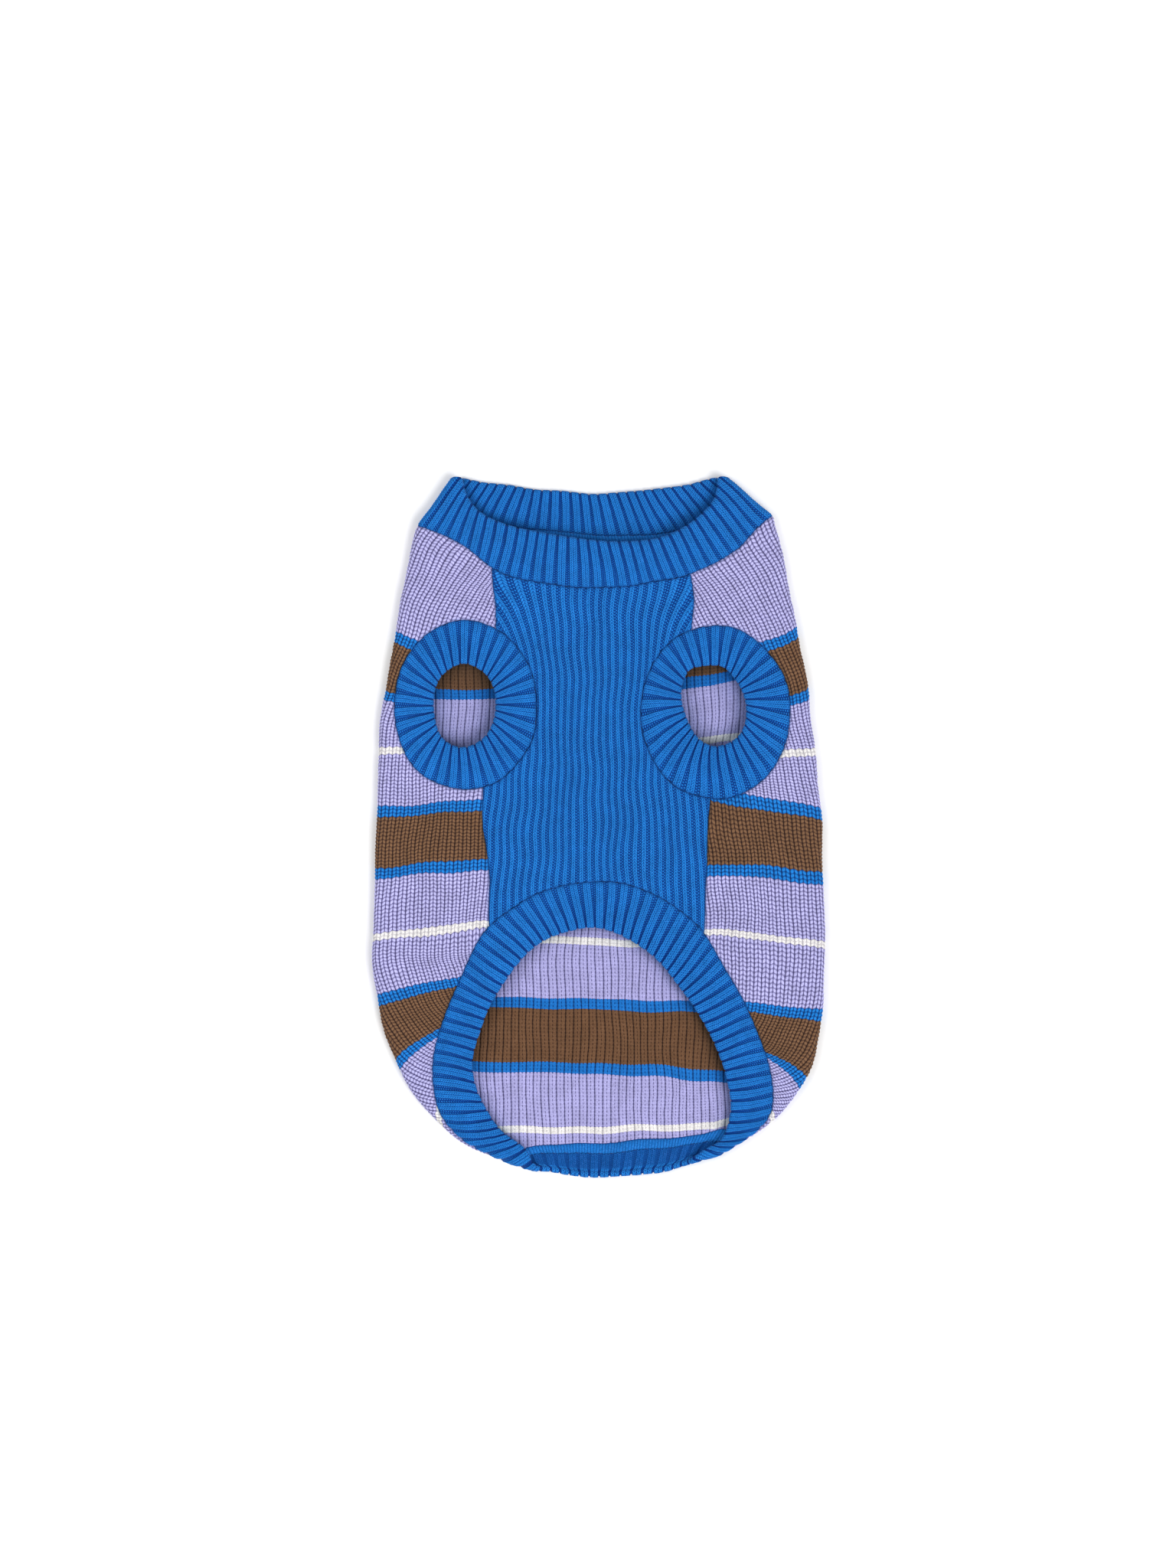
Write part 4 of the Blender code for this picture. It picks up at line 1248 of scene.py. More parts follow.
class Sheet:
    """Adds nodes to a node tree and joins them up."""

    def __init__(self, tree: bpy.types.NodeTree) -> None:
        """Work in a tree."""
        self.tree = tree

    def fill(self, socket: Socket, value: Union[Value, Tint]) -> None:
        """Link a socket or set it.

        Args:
            socket: the socket.
            value: what it is linked to or set to.
        """
        if isinstance(value, (Wire, Socket)):
            self.tree.links.new(getattr(value, "socket", value), socket)
        elif isinstance(value, tuple):
            socket.default_value = (*value, 1.0) if len(socket.default_value) == 4 else value
        else:
            socket.default_value = value

    def fill_all(self, node: bpy.types.Node, values: dict) -> None:
        """Fill a node's sockets, which are given by name or number."""
        for name, value in values.items():
            self.fill(node.inputs[name], value)

    def node(self, kind: str, values: Optional[dict] = None, **settings: object) -> bpy.types.Node:
        """Add a node.

        Args:
            kind: the node's type.
            values: what goes into its sockets, by name or number.
            **settings: its other settings.

        Returns:
            The node.
        """
        made = self.tree.nodes.new(kind)
        for name, setting in settings.items():
            setattr(made, name, setting)
        self.fill_all(made, values or {})
        return made

    def math(self, operation: str, *values: Value) -> Wire:
        """Work out a number from others."""
        made = self.node("ShaderNodeMath", dict(enumerate(values)), operation=operation)
        return Wire(self, made.outputs[0])

    def mix(self, share: Value, first: Tint, second: Tint, blend: str = "MIX") -> Wire:
        """Mix two colours by a share."""
        values = {0: share, 6: first, 7: second}
        return Wire(self, self.node("ShaderNodeMix", values, data_type="RGBA", blend_type=blend).outputs[2])

    def span(self, value: Value, low: float, high: float, *ends: float) -> Wire:
        """Bring a number from one range to another, or to 0 to 1, held at its ends."""
        values = dict(enumerate((value, low, high, *(ends or (0.0, 1.0)))))
        return Wire(self, self.node("ShaderNodeMapRange", values, clamp=True).outputs[0])


class Group:
    """A shader node group with named inputs and outputs."""

    def __init__(self, name: str, inputs: dict, outputs: dict) -> None:
        """Make an empty group.

        Args:
            name: its name.
            inputs: a first value for each input, a number or a colour.
            outputs: the kind of each output, "Float" or "Color".
        """
        self.tree = bpy.data.node_groups.new(name, "ShaderNodeTree")
        for title, value in inputs.items():
            kind = "NodeSocketColor" if isinstance(value, tuple) else "NodeSocketFloat"
            socket = self.tree.interface.new_socket(name=title, in_out="INPUT", socket_type=kind)
            socket.default_value = (*value, 1.0) if isinstance(value, tuple) else value
        for title, kind in outputs.items():
            self.tree.interface.new_socket(name=title, in_out="OUTPUT", socket_type="NodeSocket" + kind)
        self.sheet = Sheet(self.tree)
        given = self.tree.nodes.new("NodeGroupInput").outputs
        self.given = {title: Wire(self.sheet, given[title]) for title in inputs}
        self.end = self.tree.nodes.new("NodeGroupOutput")

    def put_out(self, **values: Wire) -> None:
        """Join what each output gives."""
        self.sheet.fill_all(self.end, values)

    def place(self, sheet: Sheet, values: dict) -> dict:
        """Put the group into a tree and return its outputs by name."""
        made = sheet.node("ShaderNodeGroup", values, node_tree=self.tree)
        return {socket.name: Wire(sheet, socket) for socket in made.outputs}


def start_material(name: str) -> tuple[bpy.types.Material, Sheet, bpy.types.Node]:
    """A new material, the sheet that adds to it, and its shader."""
    material = bpy.data.materials.new(name)
    material.use_nodes = True
    return material, Sheet(material.node_tree), material.node_tree.nodes["Principled BSDF"]


class Stripe(NamedTuple):
    """A stripe's yarn, its first row, counted down in each repeat, and the row after its last."""

    yarn: str
    first: float
    end: float


# Rows are counted down from the top of the first blue stripe.
STRIPE_REPEAT = 50.0
STRIPES = table(
    Stripe,
    ("Blue", 0.0, 3.0),
    ("Brown", 3.0, 17.0),
    ("Blue", 17.0, 20.0),
    ("White", 34.0, 36.0),
)


class KnitGroups:
    """The node groups that the knitted materials share.

    Between the widths of WIDE_VALLEY, in ribs, a valley's purl stitches come to show. Between the
    heights of HOLLOW_HEIGHTS the painted shade of a hollow ends.
    """

    WIDE_VALLEY, HOLLOW_HEIGHTS = (0.12, 0.4), (0.05, 0.6)
    PURL_HEIGHT, PURL_SWING = 0.34, 0.3
    FIBRE_SPAN, DYE_SPAN = (0.25, 0.75), (0.3, 0.7)

    def __init__(self) -> None:
        """Build each group once."""
        self.stitches = self.build_stitches()
        self.fuzz = self.build_fuzz()
        self.stripes = self.build_stripes()

    def build_stitches(self) -> Group:
        """Stitches worked out from rib and course numbers: their height, and painted shade for the hollows
        between.
        """
        titles = ("Rib", "Course", "Wales", "Share", "Slant", "Notch", "Groove", "Waist", "Bridge")
        outputs = dict.fromkeys(("Height", "Hollow", "Row"), "Float")
        group = Group("knit_stitches", dict.fromkeys(titles, 0.5), outputs)
        sheet = group.sheet
        rib, course, wales, share, slant, notch, groove, waist, bridge = group.given.values()
        across = sheet.math("FRACT", rib + 0.5) - 0.5
        wale = (across / share + 0.5) * wales
        within = sheet.math("ABSOLUTE", sheet.math("FRACT", wale) - 0.5)
        row = course + within * 2.0 * slant
        off_leg = within * (1.0 / Knit.LEG_AT) - 1.0
        depth = (notch - groove) * (within < Knit.LEG_AT) + groove
        bulge = 0.5 - sheet.math("COSINE", row * FULL_TURN) * 0.5
        leg = 1.0 - off_leg * off_leg * (depth * (1.0 - bridge * bulge))
        twice = sheet.math("ABSOLUTE", across) * 2.0
        knitted, valley = twice < share, 1.0 - share
        legs = leg * ((1.0 - waist) * bulge + waist) * knitted
        hump = sheet.math("SINE", (twice - share) / valley * math.pi)
        turned = sheet.math("COSINE", (course + (across > 0.0) * 0.5) * FULL_TURN)
        purl = turned * self.PURL_SWING + self.PURL_HEIGHT
        purls = purl * hump * (sheet.span(valley, *self.WIDE_VALLEY) * (1.0 - knitted))
        height = sheet.math("MAXIMUM", legs, purls)
        # Painted shade: where the stitches are low, a mask darkens the colour as a hollow's shade.
        hollow = sheet.span(height, *self.HOLLOW_HEIGHTS, 1.0, 0.0)
        group.put_out(Height=height, Hollow=hollow, Row=row)
        return group

    def build_fuzz(self) -> Group:
        """Wool's fine fibres and its uneven dye."""
        inputs = {"Fibre Scale": 1700.0, "Dye Scale": 160.0}
        group = Group("yarn_fuzz", inputs, {"Fibre": "Float", "Dye": "Float"})
        sheet = group.sheet
        places = sheet.node("ShaderNodeTexCoord").outputs["Object"]
        fibre_scale, dye_scale = group.given.values()
        shape = {"Vector": places, "Scale": fibre_scale, "Detail": 3.0, "Roughness": 0.6}
        fibre = sheet.node("ShaderNodeTexNoise", shape).outputs[0]
        shape = {"Vector": places, "Scale": dye_scale, "Detail": 2.0, "Roughness": 0.5}
        dye = sheet.node("ShaderNodeTexNoise", shape).outputs[0]
        group.put_out(Fibre=sheet.span(fibre, *self.FIBRE_SPAN), Dye=sheet.span(dye, *self.DYE_SPAN))
        return group

    def build_stripes(self) -> Group:
        """The striped yarns, chosen by whole rows of stitches, and where the last stripe is."""
        inputs = {"Row": 0.0, **dict.fromkeys(("Lilac", "Blue", "Brown", "White"), (0.0, 0.0, 0.0))}
        group = Group("course_stripes", inputs, {"Color": "Color", "Pale": "Float"})
        sheet, given = group.sheet, group.given
        down = -1.0 - sheet.math("FLOOR", given["Row"])
        below = down > -0.5
        place = sheet.math("FLOORED_MODULO", down, STRIPE_REPEAT)
        colour = given["Lilac"]
        for stripe in STRIPES:
            pale = (place > stripe.first - 0.5) * (place < stripe.end - 0.5) * below
            colour = sheet.mix(pale, colour, given[stripe.yarn])
        group.put_out(Color=colour, Pale=pale)
        return group


class Yarns(NamedTuple):
    """The colours of the striped panel's yarns, where they catch the light."""

    lilac: Colour = (0.49, 0.475, 0.81)
    blue: Colour = (0.013, 0.206, 0.642)
    brown: Colour = (0.198, 0.104, 0.054)
    white: Colour = (0.80, 0.78, 0.77)


@dataclass(frozen=True)
class KnitFinish:
    """The finish of one piece's knit.

    Attributes:
        knit: the knit that its stitches follow.
        colour: the yarn where it catches the light, unless it is striped.
        hollow: painted shade, what the colour is multiplied by in the hollows between stitches.
        deep: painted shade, what the colour is multiplied by deep in a seam, pocket or window.
        yarns: the stripes' yarns.
        pale_hollow: how much of the hollows' painted shade the white rows keep.
        deep_hollow: how much of it is left deep in a seam or pocket's painted shade.
        halo: how much of the yarn its pale loose fibres cover at most.
        courses: courses from seam to free edge, over which the stitches spread.
        bump: how strongly the stitches show in the shading.
        bump_depth: how deep they are taken to be there.
        fibre_tone: the tones of the darkest and the palest fibres.
        dye_tone: how much the dye's unevenness adds to the tone at least and at most.
        loose_span: the fibres' values between which the loose ones grow.
        fibre_height: how far a fibre stands out beside a stitch.
    """

    name: str
    knit: Knit
    colour: Colour = (0.013, 0.206, 0.642)
    hollow: Colour = (0.03, 0.12, 0.28)
    deep: Colour = (0.36, 0.47, 0.58)
    yarns: Optional[Yarns] = None
    pale_hollow: float = 0.5
    deep_hollow: float = 0.6
    halo: float = 0.04
    halo_colour: Colour = (0.70, 0.74, 0.84)
    courses: float = 1.0
    bump: float = 0.5
    bump_depth: float = 0.4
    fibre_tone: Span = (0.66, 1.22)
    dye_tone: Span = (-0.06, 0.1)
    loose_span: Span = (0.45, 0.95)
    fibre_height: float = 0.35
    roughness: float = 0.9
    specular: float = 0.08
    sheen: float = 0.04

    def build(self, groups: KnitGroups) -> bpy.types.Material:
        """Make the material.

        Args:
            groups: the node groups that the knits share.

        Returns:
            The material.
        """
        material, sheet, shader = start_material(self.name)
        numbers = sheet.node("ShaderNodeUVMap", uv_map=KNIT_MAP).outputs[0]
        parts = sheet.node("ShaderNodeSeparateXYZ", {0: numbers}).outputs
        knit, share, white = self.knit, self.knit.share, (1.0, 1.0, 1.0)
        if knit.free_share != share:
            share = sheet.span(parts[1], 0.0, self.courses, share, knit.free_share)
        values = {"Rib": parts[0], "Course": parts[1], "Wales": float(knit.wales), "Share": share}
        values.update({"Slant": knit.slant, "Notch": knit.notch, "Groove": knit.groove})
        values.update({"Waist": knit.waist, "Bridge": knit.bridge})
        stitches = groups.stitches.place(sheet, values)
        fuzz = groups.fuzz.place(sheet, {})
        colour, hollow = self.colour, stitches["Hollow"]
        if self.yarns:
            yarns = {name.title(): yarn for name, yarn in self.yarns._asdict().items()}
            stripes = groups.stripes.place(sheet, {"Row": stitches["Row"], **yarns})
            colour = stripes["Color"]
            hollow = hollow * sheet.span(stripes["Pale"], 0.0, 1.0, 1.0, self.pale_hollow)
        # Painted shade: the Shade attribute darkens seams, pockets, linings and window edges by the deep
        # colour, and weakens the hollows' painted shade there.
        deep = sheet.node("ShaderNodeAttribute", attribute_name=SHADE_MAP).outputs["Fac"]
        hollow = hollow * sheet.span(deep, 0.0, 1.0, 1.0, self.deep_hollow)
        colour = sheet.mix(1.0, colour, sheet.mix(hollow, white, self.hollow), "MULTIPLY")
        colour = sheet.mix(1.0, colour, sheet.mix(deep, white, self.deep), "MULTIPLY")
        fibre = sheet.span(fuzz["Fibre"], 0.0, 1.0, *self.fibre_tone)
        tone = fibre + sheet.span(fuzz["Dye"], 0.0, 1.0, *self.dye_tone)
        grey = sheet.node("ShaderNodeCombineColor", {0: tone, 1: tone, 2: tone}).outputs[0]
        colour = sheet.mix(1.0, colour, grey, "MULTIPLY")
        loose = sheet.span(fuzz["Fibre"], *self.loose_span, 0.0, self.halo) * stitches["Height"]
        colour = sheet.mix(loose, colour, self.halo_colour)
        height = fuzz["Fibre"] * self.fibre_height + stitches["Height"]
        values = {"Strength": self.bump, "Distance": self.bump_depth * MM, "Height": height}
        bump = sheet.node("ShaderNodeBump", values).outputs[0]
        values = {"Base Color": colour, "Normal": bump, "Roughness": self.roughness}
        values.update({"Specular IOR Level": self.specular, "Sheen Weight": self.sheen})
        sheet.fill_all(shader, values)
        return material


@dataclass(frozen=True)
class Cut:
    """A piece's flat size, in millimetres."""

    width: float
    length: float
    area: Optional[float] = None


def cut_of(loop: Array) -> Cut:
    """The flat size of a piece from its outline."""
    width, length = loop.max(0) - loop.min(0)
    return Cut(float(width), float(length), abs(loop_area(loop)))


def settle(thing: bpy.types.Object, node: str, cut: Cut) -> None:
    """Tie a visible piece to the solid that it stands for: hide the solid, and attach the piece to the
    body.

    Args:
        thing: the visible piece.
        node: the solid's name.
        cut: its flat size; not used.
    """
    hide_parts(node)
    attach(thing, BODY)


@dataclass(frozen=True)
class SeamDip:
    """How deep and how wide a piece's face dips to a seam, and how far from it the painted shade ends."""

    depth: float = 0.5
    width: float = 1.3
    shaded: float = 0.9

    def at(self, room: Array) -> Array:
        """How far the face lies below its height at a distance from the seam."""
        return self.depth * (1.0 - smooth_step(room / self.width))

    def shade(self, room: Array) -> Array:
        """How much painted shade the face gets at a distance from the seam."""
        return 1.0 - smooth_step(room / self.shaded)


@dataclass(frozen=True)
class BellyPanel:
    """The plain ribbed panel on the belly side, between its two seams.

    Its points lie a margin inside its outline, and those of its inner face coarse_step apart.
    """

    knit: Knit = Knit(
        wales=1, share=0.6, free_share=0.6, rib_rise=0.38, leg_rise=0.35, slant=1.1, floor=True
    )
    dip: SeamDip = SeamDip()
    margin: float = 0.5
    coarse_step: float = 6.0
    node: str = "belly_panel"

    def outline(self) -> Array:
        """The panel's outline in plan."""
        return join(
            smooth_line([LEFT_TOP, *SEAM_LEFT_ABOVE[-2::-1]]),
            NECK_SEAM.part(NECK_LEFT_SEAM, NECK_RIGHT_SEAM, False),
            smooth_line([*SEAM_RIGHT_ABOVE[:-1], RIGHT_TOP]),
            oval_arc(RIGHT_LEG.seam, RIGHT_TOP, RIGHT_LOW),
            smooth_line([RIGHT_LOW, *SEAM_RIGHT_BELOW[1:]]),
            HEM_SEAM.part(HEM_LEFT_SEAM, HEM_RIGHT_SEAM, False)[::-1],
            smooth_line([*SEAM_LEFT_BELOW[:0:-1], LEFT_LOW]),
            oval_arc(LEFT_LEG.seam, LEFT_LOW, LEFT_TOP),
        )

    def build(self, groups: KnitGroups) -> bpy.types.Object:
        """Build and dress the panel.

        Args:
            groups: the node groups that the knits share.

        Returns:
            The panel's object.
        """
        chart = BellyChart()
        loop = shrink(self.outline(), SIZES.half_gap)
        low, high = loop.min(0), loop.max(0)
        filled = fill(loop, Lattice(chart, self.knit).points(low, high), self.margin, chart)
        room = Polyline(loop, closed=True).distance(filled.places)
        rise = self.knit.rise(*filled.numbers.T, self.knit.share) - self.dip.at(room)
        # The outer face gets painted shade near its seams.
        outer = Shell(filled, CLOTH.lay_on_belly(filled.places, -rise), self.dip.shade(room))
        grid = np.mgrid[low[0] : high[0] : self.coarse_step, low[1] : high[1] : self.coarse_step]
        filled = fill(loop, grid.reshape(2, -1).T, self.coarse_step / 3, chart)
        lower = CLOTH.lay_on_belly(filled.places, SIZES.panel_wall)
        # The hidden inner face gets full painted shade.
        inner = Shell(filled, lower, np.ones(len(lower)))
        finish = KnitFinish("belly_rib", self.knit).build(groups)
        thing = make_object("belly_panel_knit", close_shells(outer, inner), [finish, finish])
        settle(thing, self.node, cut_of(loop))
        return thing


@dataclass(frozen=True)
class BackPanel:
    """The striped panel: the whole back, and both sides as far as the belly seams.

    Its stitches stand out whole from full_relief past the folded edge, and underneath its grooves are
    underside_relief deep. Below the edges above it, the inner face gets painted shade of up to
    edge_shade, moved by shade_shift to follow the light and fading over hole_reach and cut_reach.
    """

    outside_knit: Knit = Knit(
        wales=1, share=0.95, free_share=0.95, rib_rise=0.15, leg_rise=0.5, slant=0.4,
        notch=1.05, groove=0.9, waist=0.27,
    )
    inside_knit: Knit = Knit(
        wales=2, share=0.93, free_share=0.93, rib_rise=0.3, leg_rise=0.35, slant=0.2,
        notch=0.0, groove=1.3, waist=0.55, bridge=0.6, detail=2,
    )
    dip: SeamDip = SeamDip()
    margin: float = 0.5
    coarse_rows: float = 0.25
    underside_relief: float = 0.3
    full_relief: float = 1.9
    edge_shade: float = 0.85
    hole_reach: float = 7.5
    cut_reach: float = 2.4
    shade_shift: Point = Point(-1.0, 0.6)
    # Painted shade in the hollows between stitches, on the outer face and on the inner.
    hollow: Colour = (0.15, 0.13, 0.22)
    lining_hollow: Colour = (0.26, 0.24, 0.33)
    lining_yarns: Yarns = Yarns(
        (0.38, 0.365, 0.655), (0.010, 0.15, 0.50), (0.138, 0.068, 0.034), (0.74, 0.72, 0.71)
    )
    halo: float = 0.015
    node: str = "back_panel"

    WINDOW_READS = 12

    def outline(self) -> Array:
        """The panel's outline in the unfolded plane."""

        def side(line: Array) -> Array:
            """A line of the belly side, unfolded."""
            return CLOTH.unfold(line, BELLY)

        return join(
            NECK_SEAM.part(NECK_RIGHT_SEAM, NECK_LEFT_SEAM, True),
            side(smooth_line([*SEAM_LEFT_ABOVE[:-1], LEFT_TOP])),
            side(oval_arc(LEFT_LEG.seam, LEFT_TOP, LEFT_LOW)),
            side(smooth_line([LEFT_LOW, *SEAM_LEFT_BELOW[1:]])),
            HEM_SEAM.part(HEM_RIGHT_SEAM, HEM_LEFT_SEAM, True)[::-1],
            side(smooth_line([*SEAM_RIGHT_BELOW[:0:-1], RIGHT_LOW])),
            side(oval_arc(RIGHT_LEG.seam, RIGHT_LOW, RIGHT_TOP)),
            side(smooth_line([RIGHT_TOP, *SEAM_RIGHT_ABOVE[-2::-1]])),
        )

    def in_windows(self, places: Array) -> Array:
        """Find what of the back shows from the belly side.

        Args:
            places: places in the unfolded plane.

        Returns:
            True for each place that shows.
        """
        shown = np.zeros(len(places), bool)
        for window in WINDOWS:
            across = (places[:, 0] > window.low_x) & (places[:, 0] < window.high_x)
            shown |= across & (places[:, 1] > window.low_y) & (places[:, 1] < window.high_y)
        return shown & (CLOTH.far(places) < -SIZES.fold_radius)

    def window_shade(self, places: Array) -> Array:
        """How much painted shade the inner face gets, below the edges of the belly cut and leg holes.

        Args:
            places: places in the unfolded plane.

        Returns:
            The painted shade, from 0 to 1.
        """
        shade = np.zeros(len(places))
        holes = (LEFT_LEG.edge, self.hole_reach), (RIGHT_LEG.edge, self.hole_reach)
        for outline, reach in (*holes, (HEM_FREE.plan, self.cut_reach)):
            at = np.linspace(0.0, len(outline), self.WINDOW_READS * len(outline), endpoint=False)
            # The edges are moved by shade_shift, so that the painted shade follows the way the light comes.
            loop = curve_at(outline, at, closed=True) + np.array(self.shade_shift)
            room = Polyline(loop, closed=True).distance(places)
            shade = np.maximum(shade, self.edge_shade * np.exp(-room / reach))
        return shade * self.in_windows(places)

    def lattices(self, loop: Array, chart: BackChart, knit: Knit) -> tuple[Array, Array]:
        """Points of the whole panel that follow a knit: fine ones, and coarse ones."""
        low, high = loop.min(0), loop.max(0)
        coarse = Lattice(chart, knit, self.coarse_rows, fine=False)
        return Lattice(chart, knit).points(low, high), coarse.points(low, high)

    def outside(self, loop: Array, chart: BackChart) -> Shell:
        """The outer face: fine where it shows from the belly side, and plainer underneath.

        Args:
            loop: the panel's outline, unfolded.
            chart: the rib and course numbers.

        Returns:
            The face.
        """
        knit, radius = self.outside_knit, SIZES.fold_radius
        fine, coarse = self.lattices(loop, chart, knit)
        fine = fine[CLOTH.far(fine) > -radius]
        coarse = coarse[CLOTH.far(coarse) < -radius - self.full_relief]
        filled = fill(loop, np.vstack([fine, coarse]), self.margin, chart)
        rise = knit.rise(*filled.numbers.T, knit.share)
        shown = smooth_step((CLOTH.far(filled.places) + radius) / (radius + self.full_relief))
        groove = 1.0 - knit.crest(filled.numbers[:, 0], knit.share)
        room = Polyline(loop, closed=True).distance(filled.places)
        inward = shown * (self.dip.at(room) - rise) + (1.0 - shown) * self.underside_relief * groove
        # The face gets painted shade near its seams.
        return Shell(filled, CLOTH.fold(filled.places, inward), self.dip.shade(room))

    def inside(self, loop: Array, chart: BackChart) -> Shell:
        """The inner face: fine where it shows through the belly cut and the leg holes.

        Args:
            loop: the panel's outline, unfolded.
            chart: the rib and course numbers.

        Returns:
            The face.
        """
        knit = self.inside_knit
        fine, coarse = self.lattices(loop, chart, knit)
        points = np.vstack([fine[self.in_windows(fine)], coarse[~self.in_windows(coarse)]])
        filled = fill(loop, points, self.margin, chart)
        rise = knit.rise(*filled.numbers.T, knit.share) * self.in_windows(filled.places)
        raised = CLOTH.fold(filled.places, SIZES.panel_wall + rise)
        return Shell(filled, raised, self.window_shade(filled.places))

    def build(self, groups: KnitGroups) -> bpy.types.Object:
        """Build and dress the panel.

        Args:
            groups: the node groups that the knits share.

        Returns:
            The panel's object.
        """
        chart = BackChart()
        loop = shrink(self.outline(), SIZES.half_gap)
        finish = KnitFinish(
            "striped_outside", self.outside_knit, hollow=self.hollow, yarns=Yarns(), halo=self.halo
        )
        lining = replace(finish, name="striped_inside", knit=self.inside_knit)
        lining = replace(lining, hollow=self.lining_hollow, yarns=self.lining_yarns)
        cloth = close_shells(self.outside(loop, chart), self.inside(loop, chart))
        thing = make_object("back_panel_knit", cloth, [finish.build(groups), lining.build(groups)])
        settle(thing, self.node, cut_of(loop))
        return thing


@dataclass(frozen=True)
class LinkedSeam:
    """The chain of stitches on a band's inner face that links it to its panel.

    Attributes:
        before: how far it reaches over the panel.
        after: how far it reaches over the band.
        height: how far it stands out of the inner face.
        stitches: stitches to a rib of the band.
        steps: rows of points across it, less one.
        tone: how much painted shade it gets.
        edge_tone: the painted shade along both its edges.
        leg_rise: how far its stitches stand out of it.
        flatness: how square it is across.
        crest: the rib number at which its stitches' crests lie in the knit map.
    """

    before: float
    after: float
    height: float = 0.9
    stitches: float = 4.0
    steps: int = 6
    tone: float = 0.45
    edge_tone: float = 0.7
    leg_rise: float = 0.2
    flatness: float = 4.0
    crest: float = -0.1

    def lift(self, across: float, along: Array) -> Array:
        """How far the chain stands out of the inner face.

        Args:
            across: the way across it, from 0 to 1.
            along: stitch numbers along it.

        Returns:
            Heights in millimetres.
        """
        dome = 1.0 - abs(2.0 * across - 1.0) ** self.flatness
        leg = 0.5 - 0.5 * np.cos(FULL_TURN * along)
        return dome * (self.height + self.leg_rise * leg)


@dataclass(frozen=True)
class Band:
    """A closed ring of ribbed cloth, from a seam to a free edge.

    Attributes:
        node: the solid that it stands for.
        ribs: ribs all round.
        courses: courses from the seam to the free edge.
        knit: its knit.
        per_course: rows of points to a course.
        dip: how it dips to its seam.
        lip: how far its free edge is rounded outwards.
        scallop: how much further a rib's crest reaches there.
        link: the chain on its inner face, or None where that face is hidden.
        rests_on: what the band lies on.

    LIP_ROWS holds the half turns of each row round the free edge, and its courses in the knit map.
    """

    node: str
    ribs: int
    courses: int
    knit: Knit
    per_course: int = 2
    dip: SeamDip = SeamDip()
    lip: float = 0.9
    scallop: float = 0.45
    link: Optional[LinkedSeam] = None
    rests_on: tuple[str, ...] = ("back_panel_knit",)

    LIP_ROWS = ((0.25, 0.8), (0.0, 1.6), (-0.25, 0.8))

    def width(self) -> float:
        """Mean distance from the seam to the free edge."""
        raise NotImplementedError

    def place(self, ribs: Array, part: Array, lift: Array, lining: bool) -> Array:
        """Place points of one face.

        Args:
            ribs: rib numbers round the band, whole on a crest.
            part: the way from the seam, 0, to the free edge, 1.
            lift: how far the knit stands out of the face.
            lining: whether it is the inner face.

        Returns:
            Points in space.
        """
        raise NotImplementedError

    def build(self, groups: KnitGroups) -> bpy.types.Object:
        """Build and dress the band.

        Args:
            groups: the node groups that the knits share.

        Returns:
            The band's object.
        """
        width = self.width()
        last = self.per_course * self.courses
        outer = [self.row(row / self.per_course, width, False) for row in range(last + 1)]
        if self.link is None:
            inner = [self.row(float(row), width, True) for row in range(self.courses + 1)]
        else:
            inner = self.chain_rows(width)
            first = math.ceil((self.link.after + self.dip.shaded / 2) / width * last)
            inner += [self.row(row / self.per_course, width, True) for row in range(first, last + 1)]
        rows = [*outer, *self.round_edge(outer, inner), *inner[::-1]]
        finish = KnitFinish(f"{self.node}_rib", self.knit, courses=float(self.courses)).build(groups)
        thing = make_object(f"{self.node}_knit", close_rows(rows), [finish])
        settle(thing, self.node, Cut(self.around(), width))
        return thing

    def rib_places(self, share: float) -> Array:
        """Rib numbers of the points round one row."""
        return (np.arange(self.ribs)[:, None] + self.knit.columns(share)[None]).ravel()

    def numbers(self, ribs: Array, course: Array) -> Array:
        """A row's knit map, which runs on past its last rib to where its first one starts again."""
        return np.column_stack([np.append(ribs, ribs[0] + self.ribs), np.append(course, course[0])])

    def row(self, phase: float, width: float, lining: bool) -> Row:
        """One row of points round a face.

        Args:
            phase: courses from the seam, in the middle of a stitch.
            width: the band's width.
            lining: whether it is the inner face.

        Returns:
            The row.
        """
        share = self.knit.share + (self.knit.free_share - self.knit.share) * phase / self.courses
        ribs = self.rib_places(share)
        lag = self.knit.lag(ribs, share)
        course = phase - lag * min(1.0, phase, self.courses - phase)
        part = (1.0 - self.lip / width) * course / self.courses
        rise = self.knit.rise(ribs, phase - lag, share)
        room = part * width
        # Each row carries painted shade: near the seam on the outer face, and the lining's on the inner
        # face.
        if lining:
            points = self.place(ribs, part, rise, True)
            return Row(points, self.numbers(ribs, course), self.lining_shade(room, points))
        points = self.place(ribs, part, rise - self.dip.at(room), False)
        return Row(points, self.numbers(ribs, course), self.dip.shade(room))

    def chain_rows(self, width: float) -> list[Row]:
        """Rows of points over the linked seam on the inner face.

        Args:
            width: the band's width.

        Returns:
            The rows, from the seam towards the free edge.
        """
        ribs = self.rib_places(self.knit.share)
        along = ribs * self.link.stitches
        flat = np.zeros(len(ribs))
        under = self.place(ribs, flat, flat, True)
        # The row under the chain, at the seam, gets full painted shade.
        rows = [Row(under, self.numbers(flat, along), np.ones(len(ribs)))]
        for step in range(self.link.steps + 1):
            across = step / self.link.steps
            room = across * (self.link.before + self.link.after) - self.link.before
            points = self.place(ribs, flat + room / width, self.link.lift(across, along), True)
            # Painted shade: at least the chain's tone, and edge_tone along its edges.
            shade = np.maximum(self.link.tone, self.lining_shade(flat + room, points))
            if step in (0, self.link.steps):
                shade = flat + self.link.edge_tone
            rows.append(Row(points, self.numbers(flat + self.link.crest, along + self.courses), shade))
        return rows

